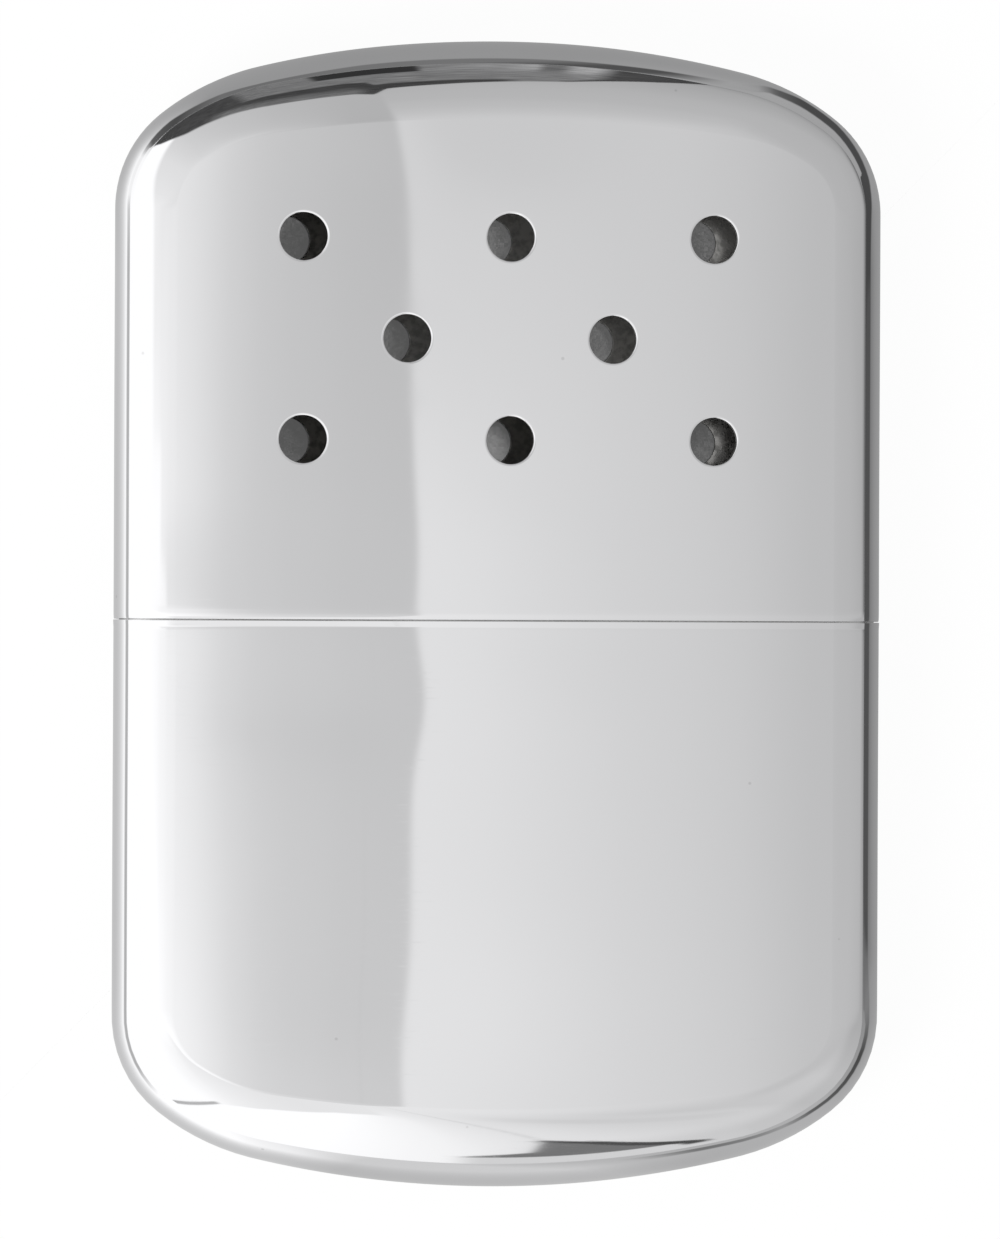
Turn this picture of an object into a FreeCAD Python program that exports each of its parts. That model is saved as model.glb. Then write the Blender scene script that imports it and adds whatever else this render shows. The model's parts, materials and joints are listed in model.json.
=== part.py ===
import FreeCAD, Part
import math
import os
import Sketcher

# Catalytic hand warmer: a flat pocket case of pressed and plated sheet. The lower half is the
# fuel tank, the upper half is a vented lid that slides over the tank's collar, and between them
# a burner is pushed over the tank's filling neck.
#
# Frame: the warmer lies on its back. X runs across it, Y along it from the tank to the lid,
# Z from the back face (Z = 0) to the front face. The origin is under the middle of the case.
# Levels along the warmer are counted from the seam between the tank and the lid.

sizes = {
    # the case
    "width": 66.8,
    "length": 99.0,
    "thickness": 14.0,
    "wall": 0.45,
    "seam": -0.6,
    "seam_gap": 0.15,
    "crown_radius": 190.0,
    "corner_radius": 10.5,
    "corner_sweep": 51.8,
    "shoulder_radius": 21.5,
    "shoulder_sweep": 24.7,
    "side_radius": 4.9,
    "rim_share": 0.88,
    # how far a cutter runs past the face that it opens
    "overcut": 1.0,
    # the vents, in rows of three, two and three
    "vent_diameter": 4.1,
    "vent_first_row": 15.5,
    "vent_pitch_along": 8.7,
    "vent_pitch_across": 17.85,
    # the collar and the deck that close the tank
    "collar_fit": 0.06,
    "collar_wall": 0.4,
    "collar_rise": 7.0,
    "solder_gap": 0.02,
    "solder_drop": 0.5,
    "ledge_width": 1.2,
    "ledge_thickness": 0.4,
    "deck_thickness": 0.5,
    "deck_depth": 5.5,
    # the filling neck, an oval tube with a foot flange
    "neck_bore_across": 22.0,
    "neck_bore_through": 6.4,
    "neck_wall": 0.4,
    "neck_rise": 1.5,
    "neck_flange": 1.3,
    "neck_hole_fit": 0.05,
    # the wick felt and the wadding
    "soft_gap": 0.3,
    "felt_drop": 3.5,
    "felt_height": 3.4,
    "wadding_layers": 4,
    "wadding_drop": 1.7,
    # the burner
    "skirt_fit": 0.05,
    "skirt_wall": 0.35,
    "skirt_drop": 4.8,
    "skirt_slit": 0.8,
    "skirt_slit_height": 3.0,
    "plate_level": 2.4,
    "plate_thickness": 0.4,
    "burner_across": 28.0,
    "burner_through": 8.3,
    "burner_corner": 1.2,
    "plate_hole": 1.5,
    "plate_hole_pitch": 2.4,
    "plate_hole_count": 8,
    "cage_height": 9.8,
    "cage_wall": 0.3,
    "cage_wing": 2.2,
    "slot_width": 1.6,
    "slot_height": 7.0,
    "slot_pitch": 3.0,
    "slot_count": 7,
    "cap_wall": 0.3,
    "cap_rim": 1.2,
    "cap_fit": 0.05,
    "rivet_diameter": 1.2,
    "rivet_head": 2.0,
    "rivet_head_height": 0.35,
    "rivet_span": 5.6,
    "rivet_slack": 0.04,
    "gauze_thickness": 0.25,
    "gauze_gap": 0.1,
}

# The smallest length that is told from nothing, and the least share of a unit vector that makes an
# edge run along an axis.
tiny = 1e-3
aligned = 0.99

doc = FreeCAD.newDocument("HandWarmer")
sheet = doc.addObject("Spreadsheet::Sheet", "Sizes")
for row, (alias, number) in enumerate(sizes.items(), start=1):
    sheet.set(f"A{row}", alias)
    sheet.set(f"B{row}", str(number))
    sheet.setAlias(f"B{row}", alias)
doc.recompute()


class Amount:
    # A size worked out from the sheet: its number, and the expression that gives the same number.
    def __init__(self, number, text):
        self.number = float(number)
        self.text = text

    def __add__(self, other):
        other = amount(other)
        return Amount(self.number + other.number, f"({self.text} + {other.text})")

    def __sub__(self, other):
        other = amount(other)
        return Amount(self.number - other.number, f"({self.text} - {other.text})")

    def __mul__(self, other):
        other = amount(other)
        return Amount(self.number * other.number, f"({self.text} * {other.text})")

    def __truediv__(self, other):
        other = amount(other)
        return Amount(self.number / other.number, f"({self.text} / {other.text})")

    def __neg__(self):
        return Amount(-self.number, f"(0 - {self.text})")

    def __radd__(self, other):
        return amount(other) + self

    def __rsub__(self, other):
        return amount(other) - self

    def __rmul__(self, other):
        return amount(other) * self

    def __float__(self):
        return self.number


def amount(value):
    return value if isinstance(value, Amount) else Amount(value, str(float(value)))


def cell(alias):
    return Amount(sheet.get(alias), f"Sizes.{alias}")


def bind(thing, prop, value):
    thing.setExpression(prop, amount(value).text)


def place(thing, x=0.0, y=0.0, z=0.0, turn_axis=(0, 0, 1), turn=0.0):
    rotation = FreeCAD.Rotation(FreeCAD.Vector(*turn_axis), turn)
    thing.Placement = FreeCAD.Placement(FreeCAD.Vector(float(x), float(y), float(z)), rotation)
    for axis, value in zip("xyz", (x, y, z)):
        bind(thing, f"Placement.Base.{axis}", value)
    return thing


# ---- sizes that several pieces share

wall = cell("wall")
overcut = cell("overcut")
mid_height = cell("thickness") / 2
seam = cell("seam")
half_length = cell("length") / 2
half_width = cell("width") / 2
lid_mouth = seam + cell("seam_gap") / 2
tank_mouth = seam - cell("seam_gap") / 2
deck_top = seam - cell("deck_depth")
deck_under = deck_top - cell("deck_thickness")
collar_foot = deck_under - cell("ledge_thickness")
collar_outer = wall + cell("collar_fit")
collar_inner = collar_outer + cell("collar_wall")
neck_across = cell("neck_bore_across") + cell("neck_wall") * 2
neck_through = cell("neck_bore_through") + cell("neck_wall") * 2
skirt_bore_across = neck_across + cell("skirt_fit") * 2
skirt_bore_through = neck_through + cell("skirt_fit") * 2
plate_under = seam + cell("plate_level")
plate_top = plate_under + cell("plate_thickness")
cage_top = plate_top + cell("cage_height")
cage_half_through = cell("burner_through") / 2
cage_across = cell("burner_across") - cell("cage_wing") * 2


# ---- shapes that several pieces share

def box(name, low, high):
    block = doc.addObject("Part::Box", name)
    for prop, start, end in zip(("Length", "Width", "Height"), low, high):
        bind(block, prop, amount(end) - start)
    return place(block, *low)


def cylinder(name, diameter, height, x, y, z, turn_axis=(0, 0, 1), turn=0.0):
    rod = doc.addObject("Part::Cylinder", name)
    bind(rod, "Radius", amount(diameter) / 2)
    bind(rod, "Height", height)
    return place(rod, x, y, z, turn_axis, turn)


def combine(kind, name, pieces):
    result = doc.addObject(kind, name)
    result.Shapes = pieces
    return result


def cut(name, base, tool):
    result = doc.addObject("Part::Cut", name)
    result.Base = base
    result.Tool = tool
    return result


def crowns(name, inset):
    # The two long, flat cylinders whose common part is the crowned pair of faces.
    radius = cell("crown_radius") - inset
    centres = {"front": cell("thickness") - cell("crown_radius"), "back": cell("crown_radius")}
    span = cell("length") + overcut * 2
    return [
        cylinder(f"{name}_{side}", radius * 2, span, 0, -half_length - overcut, centre, (1, 0, 0), -90)
        for side, centre in centres.items()
    ]


def circle(x, y, radius):
    return Part.Circle(FreeCAD.Vector(x, y, 0), FreeCAD.Vector(0, 0, 1), radius)


def arc(x, y, radius, start, end):
    return Part.ArcOfCircle(circle(x, y, radius), start, end)


def line(start, end):
    return Part.LineSegment(FreeCAD.Vector(*start, 0), FreeCAD.Vector(*end, 0))


def end_outline(name, inset, reach):
    # Half of the case seen from the front, from its mouth on the X axis to its far end: straight
    # sides, then on each side a corner arc and a shoulder arc, and one wide end arc over both.
    side = half_width - inset
    corner = cell("corner_radius") - inset
    shoulder = cell("shoulder_radius") - inset
    corner_turn = math.radians(float(cell("corner_sweep")))
    full_turn = corner_turn + math.radians(float(cell("shoulder_sweep")))
    corner_x = float(side - corner)
    shoulder_x = corner_x - float(shoulder - corner) * math.cos(corner_turn)
    shoulder_drop = float(shoulder - corner) * math.sin(corner_turn)
    end_radius = float(shoulder) + shoulder_x / math.cos(full_turn)
    end_drop = shoulder_drop + (end_radius - float(shoulder)) * math.sin(full_turn)
    straight = float(reach) - (end_radius - end_drop)

    edge = float(side)
    sketch = doc.addObject("Sketcher::SketchObject", name)
    sketch.addGeometry([
        line((edge, 0), (edge, straight)),
        arc(corner_x, straight, float(corner), 0, corner_turn),
        arc(shoulder_x, straight - shoulder_drop, float(shoulder), corner_turn, full_turn),
        arc(0, straight - end_drop, end_radius, full_turn, math.pi / 2),
        arc(0, straight - end_drop, end_radius, math.pi / 2, math.pi - full_turn),
        arc(-shoulder_x, straight - shoulder_drop, float(shoulder), math.pi - full_turn,
            math.pi - corner_turn),
        arc(-corner_x, straight, float(corner), math.pi - corner_turn, math.pi),
        line((-edge, straight), (-edge, 0)),
        line((-edge, 0), (edge, 0)),
    ])
    right, corner_a, shoulder_a, end_a, end_b, shoulder_b, corner_b, left, mouth = range(9)
    start, end, centre = 1, 2, 3
    x_axis, y_axis = -1, -2
    outline = (right, corner_a, shoulder_a, end_a, end_b, shoulder_b, corner_b, left)
    for before, after in zip(outline, outline[1:]):
        sketch.addConstraint(Sketcher.Constraint("Tangent", before, end, after, start))
    sketch.addConstraint([
        Sketcher.Constraint("Coincident", left, end, mouth, start),
        Sketcher.Constraint("Coincident", mouth, end, right, start),
        Sketcher.Constraint("Vertical", right),
        Sketcher.Constraint("Symmetric", mouth, start, mouth, end, -1, 1),
        Sketcher.Constraint("PointOnObject", mouth, start, x_axis),
        Sketcher.Constraint("Equal", right, left),
        Sketcher.Constraint("PointOnObject", end_a, centre, y_axis),
        Sketcher.Constraint("PointOnObject", end_a, end, y_axis),
        Sketcher.Constraint("Equal", end_a, end_b),
        Sketcher.Constraint("Equal", corner_a, corner_b),
        Sketcher.Constraint("Equal", shoulder_a, shoulder_b),
    ])
    driven = (
        ("mouth_width", Sketcher.Constraint("Distance", mouth, 2 * edge), side * 2),
        ("reach", Sketcher.Constraint("DistanceY", -1, 1, end_a, end, float(reach)), reach),
        ("corner", Sketcher.Constraint("Radius", corner_a, float(corner)), corner),
        ("shoulder", Sketcher.Constraint("Radius", shoulder_a, float(shoulder)), shoulder),
        ("corner_sweep", Sketcher.Constraint("Angle", corner_a, corner_turn),
         cell("corner_sweep") * Amount(1, "1 deg")),
        ("shoulder_sweep", Sketcher.Constraint("Angle", shoulder_a, full_turn - corner_turn),
         cell("shoulder_sweep") * Amount(1, "1 deg")),
    )
    for label, constraint, value in driven:
        index = sketch.addConstraint(constraint)
        sketch.renameConstraint(index, label)
        sketch.setExpression(f"Constraints.{label}", value.text)
    return sketch


def half_case(name, inset, mouth, direction):
    # One half of the case as a closed solid, drawn in by inset: the outline carried through the
    # thickness, cut to the two crowned faces, with a full rim round that shrinks with the height
    # of the side. direction is 1 for the lid's half and -1 for the tank's.
    spare = mid_height
    reach = half_length - inset - amount(mouth) * direction
    sketch = end_outline(f"{name}_outline", inset, reach)
    place(sketch, 0, mouth, -spare, turn=0 if direction > 0 else 180)
    prism = doc.addObject("Part::Extrusion", f"{name}_prism")
    prism.Base = sketch
    prism.DirMode = "Normal"
    prism.Solid = True
    bind(prism, "LengthFwd", cell("thickness") + spare * 2)
    lens = combine("Part::MultiCommon", f"{name}_lens", [prism] + crowns(f"{name}_crown", inset))
    doc.recompute()
    share = float(cell("rim_share"))
    side_round = share * float(cell("side_radius") - inset)
    edge = float(half_width - inset)
    mouth_y = float(mouth)

    def rim_round(point):
        if abs(point.x) > edge - tiny:
            return side_round
        sag = point.x ** 2 / (2 * float(cell("crown_radius")))
        return share * (float(mid_height - inset) - sag)

    rounds = []
    for index, rim in enumerate(lens.Shape.Edges, start=1):
        middle = rim.valueAt((rim.FirstParameter + rim.LastParameter) / 2)
        upright = rim.BoundBox.DiagonalLength - rim.BoundBox.ZLength < tiny
        if upright or abs(middle.y - mouth_y) < tiny:
            continue
        first = rim.valueAt(rim.FirstParameter)
        last = rim.valueAt(rim.LastParameter)
        rounds.append((index, rim_round(first), rim_round(last)))
    solid = doc.addObject("Part::Fillet", f"{name}_solid")
    solid.Base = lens
    solid.Edges = rounds
    return solid


def lens_bar(name, inset, low, high):
    # The case's section, drawn in by inset, between two levels of its straight part.
    side = half_width - inset
    slab = box(f"{name}_slab", (-side, low, 0), (side, high, cell("thickness")))
    lens = combine("Part::MultiCommon", f"{name}_lens", [slab] + crowns(f"{name}_crown", inset))
    doc.recompute()
    radius = float(cell("rim_share") * (cell("side_radius") - inset))
    bar = doc.addObject("Part::Fillet", f"{name}_bar")
    bar.Base = lens
    bar.Edges = [
        (index, radius, radius)
        for index, edge in enumerate(lens.Shape.Edges, start=1)
        if abs(edge.tangentAt(edge.FirstParameter).y) > aligned
    ]
    return bar


def body(name, level):
    # A body whose own origin is on the warmer's mid-plane, at a level along it.
    return place(doc.addObject("PartDesign::Body", name), 0, level, mid_height)


def sketch_on(owner, name, level=0.0, role="XZ_Plane"):
    sketch = owner.newObject("Sketcher::SketchObject", name)
    plane = next(part for part in owner.Origin.OriginFeatures if part.Role == role)
    sketch.AttachmentSupport = [(plane, "")]
    sketch.MapMode = "FlatFace"
    bind(sketch, "AttachmentOffset.Base.z", -amount(level))
    return sketch


def draw_oval(sketch, across, through):
    # Two straight sides joined by half circles, centred on the sketch's origin.
    radius = float(through) / 2
    reach = float(across) / 2 - radius
    quarter = math.pi / 2
    first = sketch.GeometryCount
    sketch.addGeometry([
        line((-reach, -radius), (reach, -radius)),
        arc(reach, 0, radius, -quarter, quarter),
        line((reach, radius), (-reach, radius)),
        arc(-reach, 0, radius, quarter, 3 * quarter),
    ])
    low, right, high, left = range(first, first + 4)
    for before, after in ((low, right), (right, high), (high, left), (left, low)):
        sketch.addConstraint(Sketcher.Constraint("Tangent", before, 2, after, 1))
    sketch.addConstraint(Sketcher.Constraint("Horizontal", low))
    sketch.addConstraint(Sketcher.Constraint("Symmetric", right, 3, left, 3, -1, 1))
    size_of(sketch, Sketcher.Constraint("Radius", right, radius), amount(through) / 2)
    size_of(sketch, Sketcher.Constraint("Distance", low, 2 * reach), amount(across) - through)


def draw_rectangle(sketch, low, high):
    # A rectangle between two corners, each given as a pair of sizes from the sketch's origin.
    (x0, y0), (x1, y1) = low, high
    corners = [(float(x), float(y)) for x, y in ((x0, y0), (x1, y0), (x1, y1), (x0, y1))]
    first = sketch.GeometryCount
    for start, end in zip(corners, corners[1:] + corners[:1]):
        sketch.addGeometry(line(start, end))
    bottom, right, top, left = range(first, first + 4)
    for before, after in ((bottom, right), (right, top), (top, left), (left, bottom)):
        sketch.addConstraint(Sketcher.Constraint("Coincident", before, 2, after, 1))
    for side, direction in ((bottom, "Horizontal"), (top, "Horizontal"),
                            (right, "Vertical"), (left, "Vertical")):
        sketch.addConstraint(Sketcher.Constraint(direction, side))
    for kind, corner, value in (("DistanceX", bottom, x0), ("DistanceY", bottom, y0),
                                ("DistanceX", top, x1), ("DistanceY", top, y1)):
        size_of(sketch, Sketcher.Constraint(kind, -1, 1, corner, 1, float(value)), value)


def draw_circle(sketch, x, y, diameter):
    index = sketch.addGeometry(circle(float(x), float(y), float(diameter) / 2))
    size_of(sketch, Sketcher.Constraint("Diameter", index, float(diameter)), diameter)
    size_of(sketch, Sketcher.Constraint("DistanceX", -1, 1, index, 3, float(x)), x)
    size_of(sketch, Sketcher.Constraint("DistanceY", -1, 1, index, 3, float(y)), y)


def size_of(sketch, constraint, value):
    index = sketch.addConstraint(constraint)
    sketch.setExpression(f"Constraints[{index}]", amount(value).text)


def pad(owner, name, sketch, length, towards_lid=True):
    feature = owner.newObject("PartDesign::Pad", name)
    feature.Profile = sketch
    feature.Reversed = towards_lid
    bind(feature, "Length", length)
    return feature


def pocket(owner, name, sketch, length=None):
    feature = owner.newObject("PartDesign::Pocket", name)
    feature.Profile = sketch
    if length is None:
        feature.Type = "ThroughAll"
        feature.Midplane = True
    else:
        bind(feature, "Length", length)
    return feature


def row_of(owner, name, feature, sketch, pitch, count):
    # Repeats a feature along the sketch's horizontal axis.
    pattern = owner.newObject("PartDesign::LinearPattern", name)
    pattern.Originals = [feature]
    pattern.Direction = (sketch, ["H_Axis"])
    bind(pattern, "Length", pitch * (count - 1))
    bind(pattern, "Occurrences", count)
    owner.Tip = pattern
    return pattern


# ---- the case

def lid_shell():
    # A pressed cap with eight round vents through its front and the same eight through its back.
    outside = half_case("lid_outside", amount(0), lid_mouth, 1)
    inside = half_case("lid_inside", wall, lid_mouth - overcut, 1)
    vents = []
    columns = {"outer": (-1, 0, 1), "middle": (-0.5, 0.5)}
    for row, kind in enumerate(("outer", "middle", "outer")):
        level = seam + cell("vent_first_row") + cell("vent_pitch_along") * row
        for column in columns[kind]:
            vents.append(cylinder(f"vent_{len(vents) + 1}", cell("vent_diameter"), cell("thickness"),
                                  cell("vent_pitch_across") * column, level, 0))
    punched = combine("Part::MultiFuse", "vent_punches", vents)
    return cut("lid_shell", cut("lid_drawn", outside, inside), punched)


def body_shell():
    # The tank, a pressed cup of the same outline.
    outside = half_case("tank_outside", amount(0), tank_mouth, -1)
    inside = half_case("tank_inside", wall, tank_mouth + overcut, -1)
    return cut("body_shell", outside, inside)


def collar_sleeve():
    # A ring soldered into the tank's mouth, which the lid slides over, with a ledge turned in at
    # its foot for the deck.
    top = seam + cell("collar_rise")
    upper = lens_bar("collar_upper", collar_outer, collar_foot, top)
    seat_top = tank_mouth - cell("solder_drop")
    lower = lens_bar("collar_lower", wall + cell("solder_gap"), collar_foot, seat_top)
    bore = lens_bar("collar_bore", collar_inner, deck_under, top + overcut)
    ledge_inner = collar_inner + cell("ledge_width")
    ledge = lens_bar("collar_ledge", ledge_inner, collar_foot - overcut, deck_under + overcut)
    ring = combine("Part::MultiFuse", "collar_ring", [upper, lower])
    return cut("collar_sleeve", cut("collar_bored", ring, bore), ledge)


def tank_deck():
    # The plate on the collar's ledge that closes the tank, with an oval hole for the neck.
    plate = lens_bar("deck_plate", collar_inner + cell("solder_gap"), deck_under, deck_top)
    hole = body("deck_hole", deck_under)
    sketch = sketch_on(hole, "deck_hole_sketch", -overcut)
    draw_oval(sketch, neck_across + cell("neck_hole_fit") * 2, neck_through + cell("neck_hole_fit") * 2)
    pad(hole, "deck_hole_pad", sketch, cell("deck_thickness") + overcut * 2)
    return cut("tank_deck", plate, hole)


def fill_neck():
    # An oval tube through the deck, with a flange that sits on the deck.
    neck = body("fill_neck", collar_foot)
    height = seam + cell("neck_rise") - collar_foot
    tube = sketch_on(neck, "neck_tube_sketch")
    draw_oval(tube, neck_across, neck_through)
    pad(neck, "neck_tube", tube, height)
    flange = sketch_on(neck, "neck_flange_sketch", deck_top - collar_foot)
    draw_oval(flange, neck_across + cell("neck_flange") * 2, neck_through + cell("neck_flange") * 2)
    pad(neck, "neck_flange_pad", flange, cell("neck_wall"))
    bore = sketch_on(neck, "neck_bore_sketch")
    draw_oval(bore, cell("neck_bore_across"), cell("neck_bore_through"))
    pocket(neck, "neck_bore", bore)
    return neck


# ---- the soft filling of the tank

def neck_felt():
    # The wick felt, which fills the lower part of the neck.
    felt = body("neck_felt", seam - cell("felt_drop") - cell("felt_height"))
    sketch = sketch_on(felt, "felt_sketch")
    slack = cell("soft_gap") * 2
    draw_oval(sketch, cell("neck_bore_across") - slack, cell("neck_bore_through") - slack)
    pad(felt, "felt_pad", sketch, cell("felt_height"))
    return felt


def wadding():
    # Flat layers of wadding, which together fill the tank under the collar.
    inset = wall + cell("soft_gap")
    top = collar_foot - cell("wadding_drop")
    block = half_case("wadding_block", inset, top, -1)
    count = int(float(cell("wadding_layers")))
    depth = (cell("thickness") - inset * 2) / cell("wadding_layers")
    layers = []
    for index in range(count):
        low = inset + depth * index
        gap = cell("soft_gap") / 2
        slab = box(f"wadding_slab_{index + 1}", (-half_width, -half_length, low + (gap if index else 0)),
                   (half_width, half_length, low + depth - (gap if index < count - 1 else 0)))
        layers.append(combine("Part::MultiCommon", f"wadding_layer_{index + 1}", [block, slab]))
    return layers


# ---- the burner

def burner_skirt():
    # An oval tube, slit from below so that it grips the neck.
    skirt = body("burner_skirt", seam - cell("skirt_drop"))
    outer = sketch_on(skirt, "skirt_outer_sketch")
    draw_oval(outer, skirt_bore_across + cell("skirt_wall") * 2, skirt_bore_through + cell("skirt_wall") * 2)
    pad(skirt, "skirt_tube", outer, plate_under - seam + cell("skirt_drop"))
    bore = sketch_on(skirt, "skirt_bore_sketch")
    draw_oval(bore, skirt_bore_across, skirt_bore_through)
    pocket(skirt, "skirt_bore", bore)
    slits = sketch_on(skirt, "skirt_slit_sketch", 0, "XY_Plane")
    half_slit = cell("skirt_slit") / 2
    for side in (-1, 1):
        centre = side * (skirt_bore_across - skirt_bore_through) / 2
        draw_rectangle(slits, (centre - half_slit, -overcut), (centre + half_slit, cell("skirt_slit_height")))
    pocket(skirt, "skirt_slits", slits)
    return skirt


def burner_plate():
    # The burner's floor, with two rows of holes that let the fuel vapour through.
    plate = body("burner_plate", plate_under)
    outline = sketch_on(plate, "plate_sketch")
    half_across = cell("burner_across") / 2
    draw_rectangle(outline, (-half_across, -cage_half_through), (half_across, cage_half_through))
    base = pad(plate, "plate_pad", outline, cell("plate_thickness"))
    doc.recompute()
    rounded_corners(plate, base)
    holes = sketch_on(plate, "plate_hole_sketch")
    first_x = -cell("plate_hole_pitch") * (cell("plate_hole_count") - 1) / 2
    for side in (-1, 1):
        draw_circle(holes, first_x, cell("plate_hole_pitch") * side * 0.5, cell("plate_hole"))
    punched = pocket(plate, "plate_holes", holes)
    row_of(plate, "plate_hole_rows", punched, holes, cell("plate_hole_pitch"), cell("plate_hole_count"))
    return plate


def rounded_corners(owner, base):
    # Rounds the four corners of a plate, which are its edges along Y.
    corners = owner.newObject("PartDesign::Fillet", f"{base.Name}_corners")
    names = []
    for index, edge in enumerate(base.Shape.Edges, start=1):
        if abs(edge.tangentAt(edge.FirstParameter).y) > aligned:
            names.append(f"Edge{index}")
    corners.Base = (base, names)
    bind(corners, "Radius", cell("burner_corner"))
    return corners


def floor_gauze():
    # A strip of gauze that keeps the catalyst mat off the floor's holes.
    half_across = cage_across / 2 - cell("cage_wall") - cell("gauze_gap")
    half_through = cage_half_through - cell("cage_wall") - cell("gauze_gap")
    low = (-half_across, plate_top, mid_height - half_through)
    high = (half_across, plate_top + cell("gauze_thickness"), mid_height + half_through)
    return box("floor_gauze", low, high)


def cage_half(name, side):
    # Half of the slotted housing: a tray with two wings that lie on the burner's mid-plane.
    # side is 1 for the front half and -1 for the back one.
    half = body(name, plate_top)
    if side < 0:
        half.Placement.Rotation = FreeCAD.Rotation(FreeCAD.Vector(0, 1, 0), 180)
    tray = sketch_on(half, f"{name}_tray_sketch")
    half_across = cage_across / 2
    draw_rectangle(tray, (-half_across, amount(0)), (half_across, cage_half_through))
    pad(half, f"{name}_tray", tray, cell("cage_height"))
    wings = sketch_on(half, f"{name}_wing_sketch")
    reach = cell("burner_across") / 2
    draw_rectangle(wings, (-reach, amount(0)), (reach, cell("cage_wall")))
    pad(half, f"{name}_wings", wings, cell("cage_height"))
    hollow = sketch_on(half, f"{name}_hollow_sketch")
    thin = cell("cage_wall")
    draw_rectangle(hollow, (thin - half_across, -overcut), (half_across - thin, cage_half_through - thin))
    pocket(half, f"{name}_hollow", hollow)
    slot = sketch_on(half, f"{name}_slot_sketch", 0, "XY_Plane")
    first_x = -cell("slot_pitch") * (cell("slot_count") - 1) / 2
    foot = (cell("cage_height") - cell("slot_height")) / 2
    draw_rectangle(slot, (first_x - cell("slot_width") / 2, foot),
                   (first_x + cell("slot_width") / 2, foot + cell("slot_height")))
    opened = pocket(half, f"{name}_slot", slot)
    row_of(half, f"{name}_slots", opened, slot, cell("slot_pitch"), cell("slot_count"))
    return half


def rivet_centres():
    across = (cell("burner_across") - cell("cage_wing")) / 2
    middle = plate_top + cell("cage_height") / 2
    for side in (-1, 1):
        for step in (-1, 1):
            yield across * side, middle + cell("rivet_span") * step / 2


def riveted(name, half):
    # Drills a cage half's wings for the rivets' shanks.
    bore = cell("rivet_diameter") + cell("rivet_slack")
    drills = []
    for x, y in rivet_centres():
        drills.append(cylinder(f"{name}_drill_{len(drills) + 1}", bore, cell("burner_through"),
                               x, y, mid_height - cage_half_through))
    return cut(name, half, combine("Part::MultiFuse", f"{name}_drills", drills))


def burner_rivets():
    # Four small rivets through the wings, each a shank with a flat head at both ends.
    rivets = []
    grip = cell("cage_wall") * 2
    for x, y in rivet_centres():
        number = len(rivets) + 1
        foot = mid_height - grip / 2
        levels = {"front": foot + grip, "back": foot - cell("rivet_head_height")}
        shank = cylinder(f"rivet_shank_{number}", cell("rivet_diameter"), grip, x, y, foot)
        heads = [
            cylinder(f"rivet_head_{side}_{number}", cell("rivet_head"), cell("rivet_head_height"), x, y, level)
            for side, level in levels.items()
        ]
        rivets.append(combine("Part::MultiFuse", f"rivet_{number}", [shank] + heads))
    group = doc.addObject("Part::Compound", "burner_rivets")
    group.Links = rivets
    return group


def burner_cap():
    # A pressed cap over the top of the cage.
    slack = cell("cap_fit") + cell("cap_wall")
    cap = body("burner_cap", cage_top - cell("cap_rim"))
    outline = sketch_on(cap, "cap_sketch")
    half_across = cell("burner_across") / 2 + slack
    half_through = cage_half_through + slack
    draw_rectangle(outline, (-half_across, -half_through), (half_across, half_through))
    base = pad(cap, "cap_pad", outline, cell("cap_rim") + cell("cap_wall"))
    doc.recompute()
    rounded_corners(cap, base)
    inside = sketch_on(cap, "cap_inside_sketch")
    thin = cell("cap_wall")
    inner = (half_across - thin, half_through - thin)
    draw_rectangle(inside, (-inner[0], -inner[1]), inner)
    pocket(cap, "cap_inside", inside, cell("cap_rim"))
    return cap


def catalyst_mat():
    # The pad of treated glass fibre where the vapour burns without a flame.
    clear = cell("cage_wall") + cell("gauze_thickness") + cell("gauze_gap") * 3
    low = (clear - cage_across / 2, plate_top + cell("gauze_thickness") + cell("gauze_gap"),
           mid_height - cage_half_through + clear)
    high = (cage_across / 2 - clear, cage_top - cell("gauze_gap") * 2, mid_height + cage_half_through - clear)
    return box("catalyst_mat", low, high)


def gauze(name, side):
    # A sheet of gauze between the mat and a slotted wall.
    clear = cell("cage_wall") + cell("gauze_gap")
    near = (cage_half_through - clear) * side
    far = near - cell("gauze_thickness") * side
    low_z, high_z = (far, near) if side > 0 else (near, far)
    foot = plate_top + cell("gauze_thickness") + cell("gauze_gap")
    return box(name, (clear - cage_across / 2, foot, mid_height + low_z),
               (cage_across / 2 - clear, cage_top - cell("gauze_gap"), mid_height + high_z))


nodes = {
    "lid_shell": lid_shell(),
    "body_shell": body_shell(),
    "collar_sleeve": collar_sleeve(),
    "tank_deck": tank_deck(),
    "fill_neck": fill_neck(),
    "neck_felt": neck_felt(),
    "burner_skirt": burner_skirt(),
    "burner_plate": burner_plate(),
    "floor_gauze": floor_gauze(),
    "cage_front": riveted("cage_front", cage_half("cage_front_tray", 1)),
    "cage_back": riveted("cage_back", cage_half("cage_back_tray", -1)),
    "burner_rivets": burner_rivets(),
    "burner_cap": burner_cap(),
    "catalyst_mat": catalyst_mat(),
    "gauze_front": gauze("gauze_front", 1),
    "gauze_back": gauze("gauze_back", -1),
}
for number, layer in enumerate(wadding(), start=1):
    nodes[f"wadding_{number}"] = layer
for node, thing in nodes.items():
    thing.Label = node
doc.recompute()

failed = [thing.Label for thing in doc.Objects if {"Invalid", "Error"} & set(thing.State)]
for node, thing in nodes.items():
    if thing.Shape.isNull() or not thing.Shape.isValid():
        failed.append(node)
if failed:
    raise RuntimeError(f"not built: {failed}")

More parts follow.
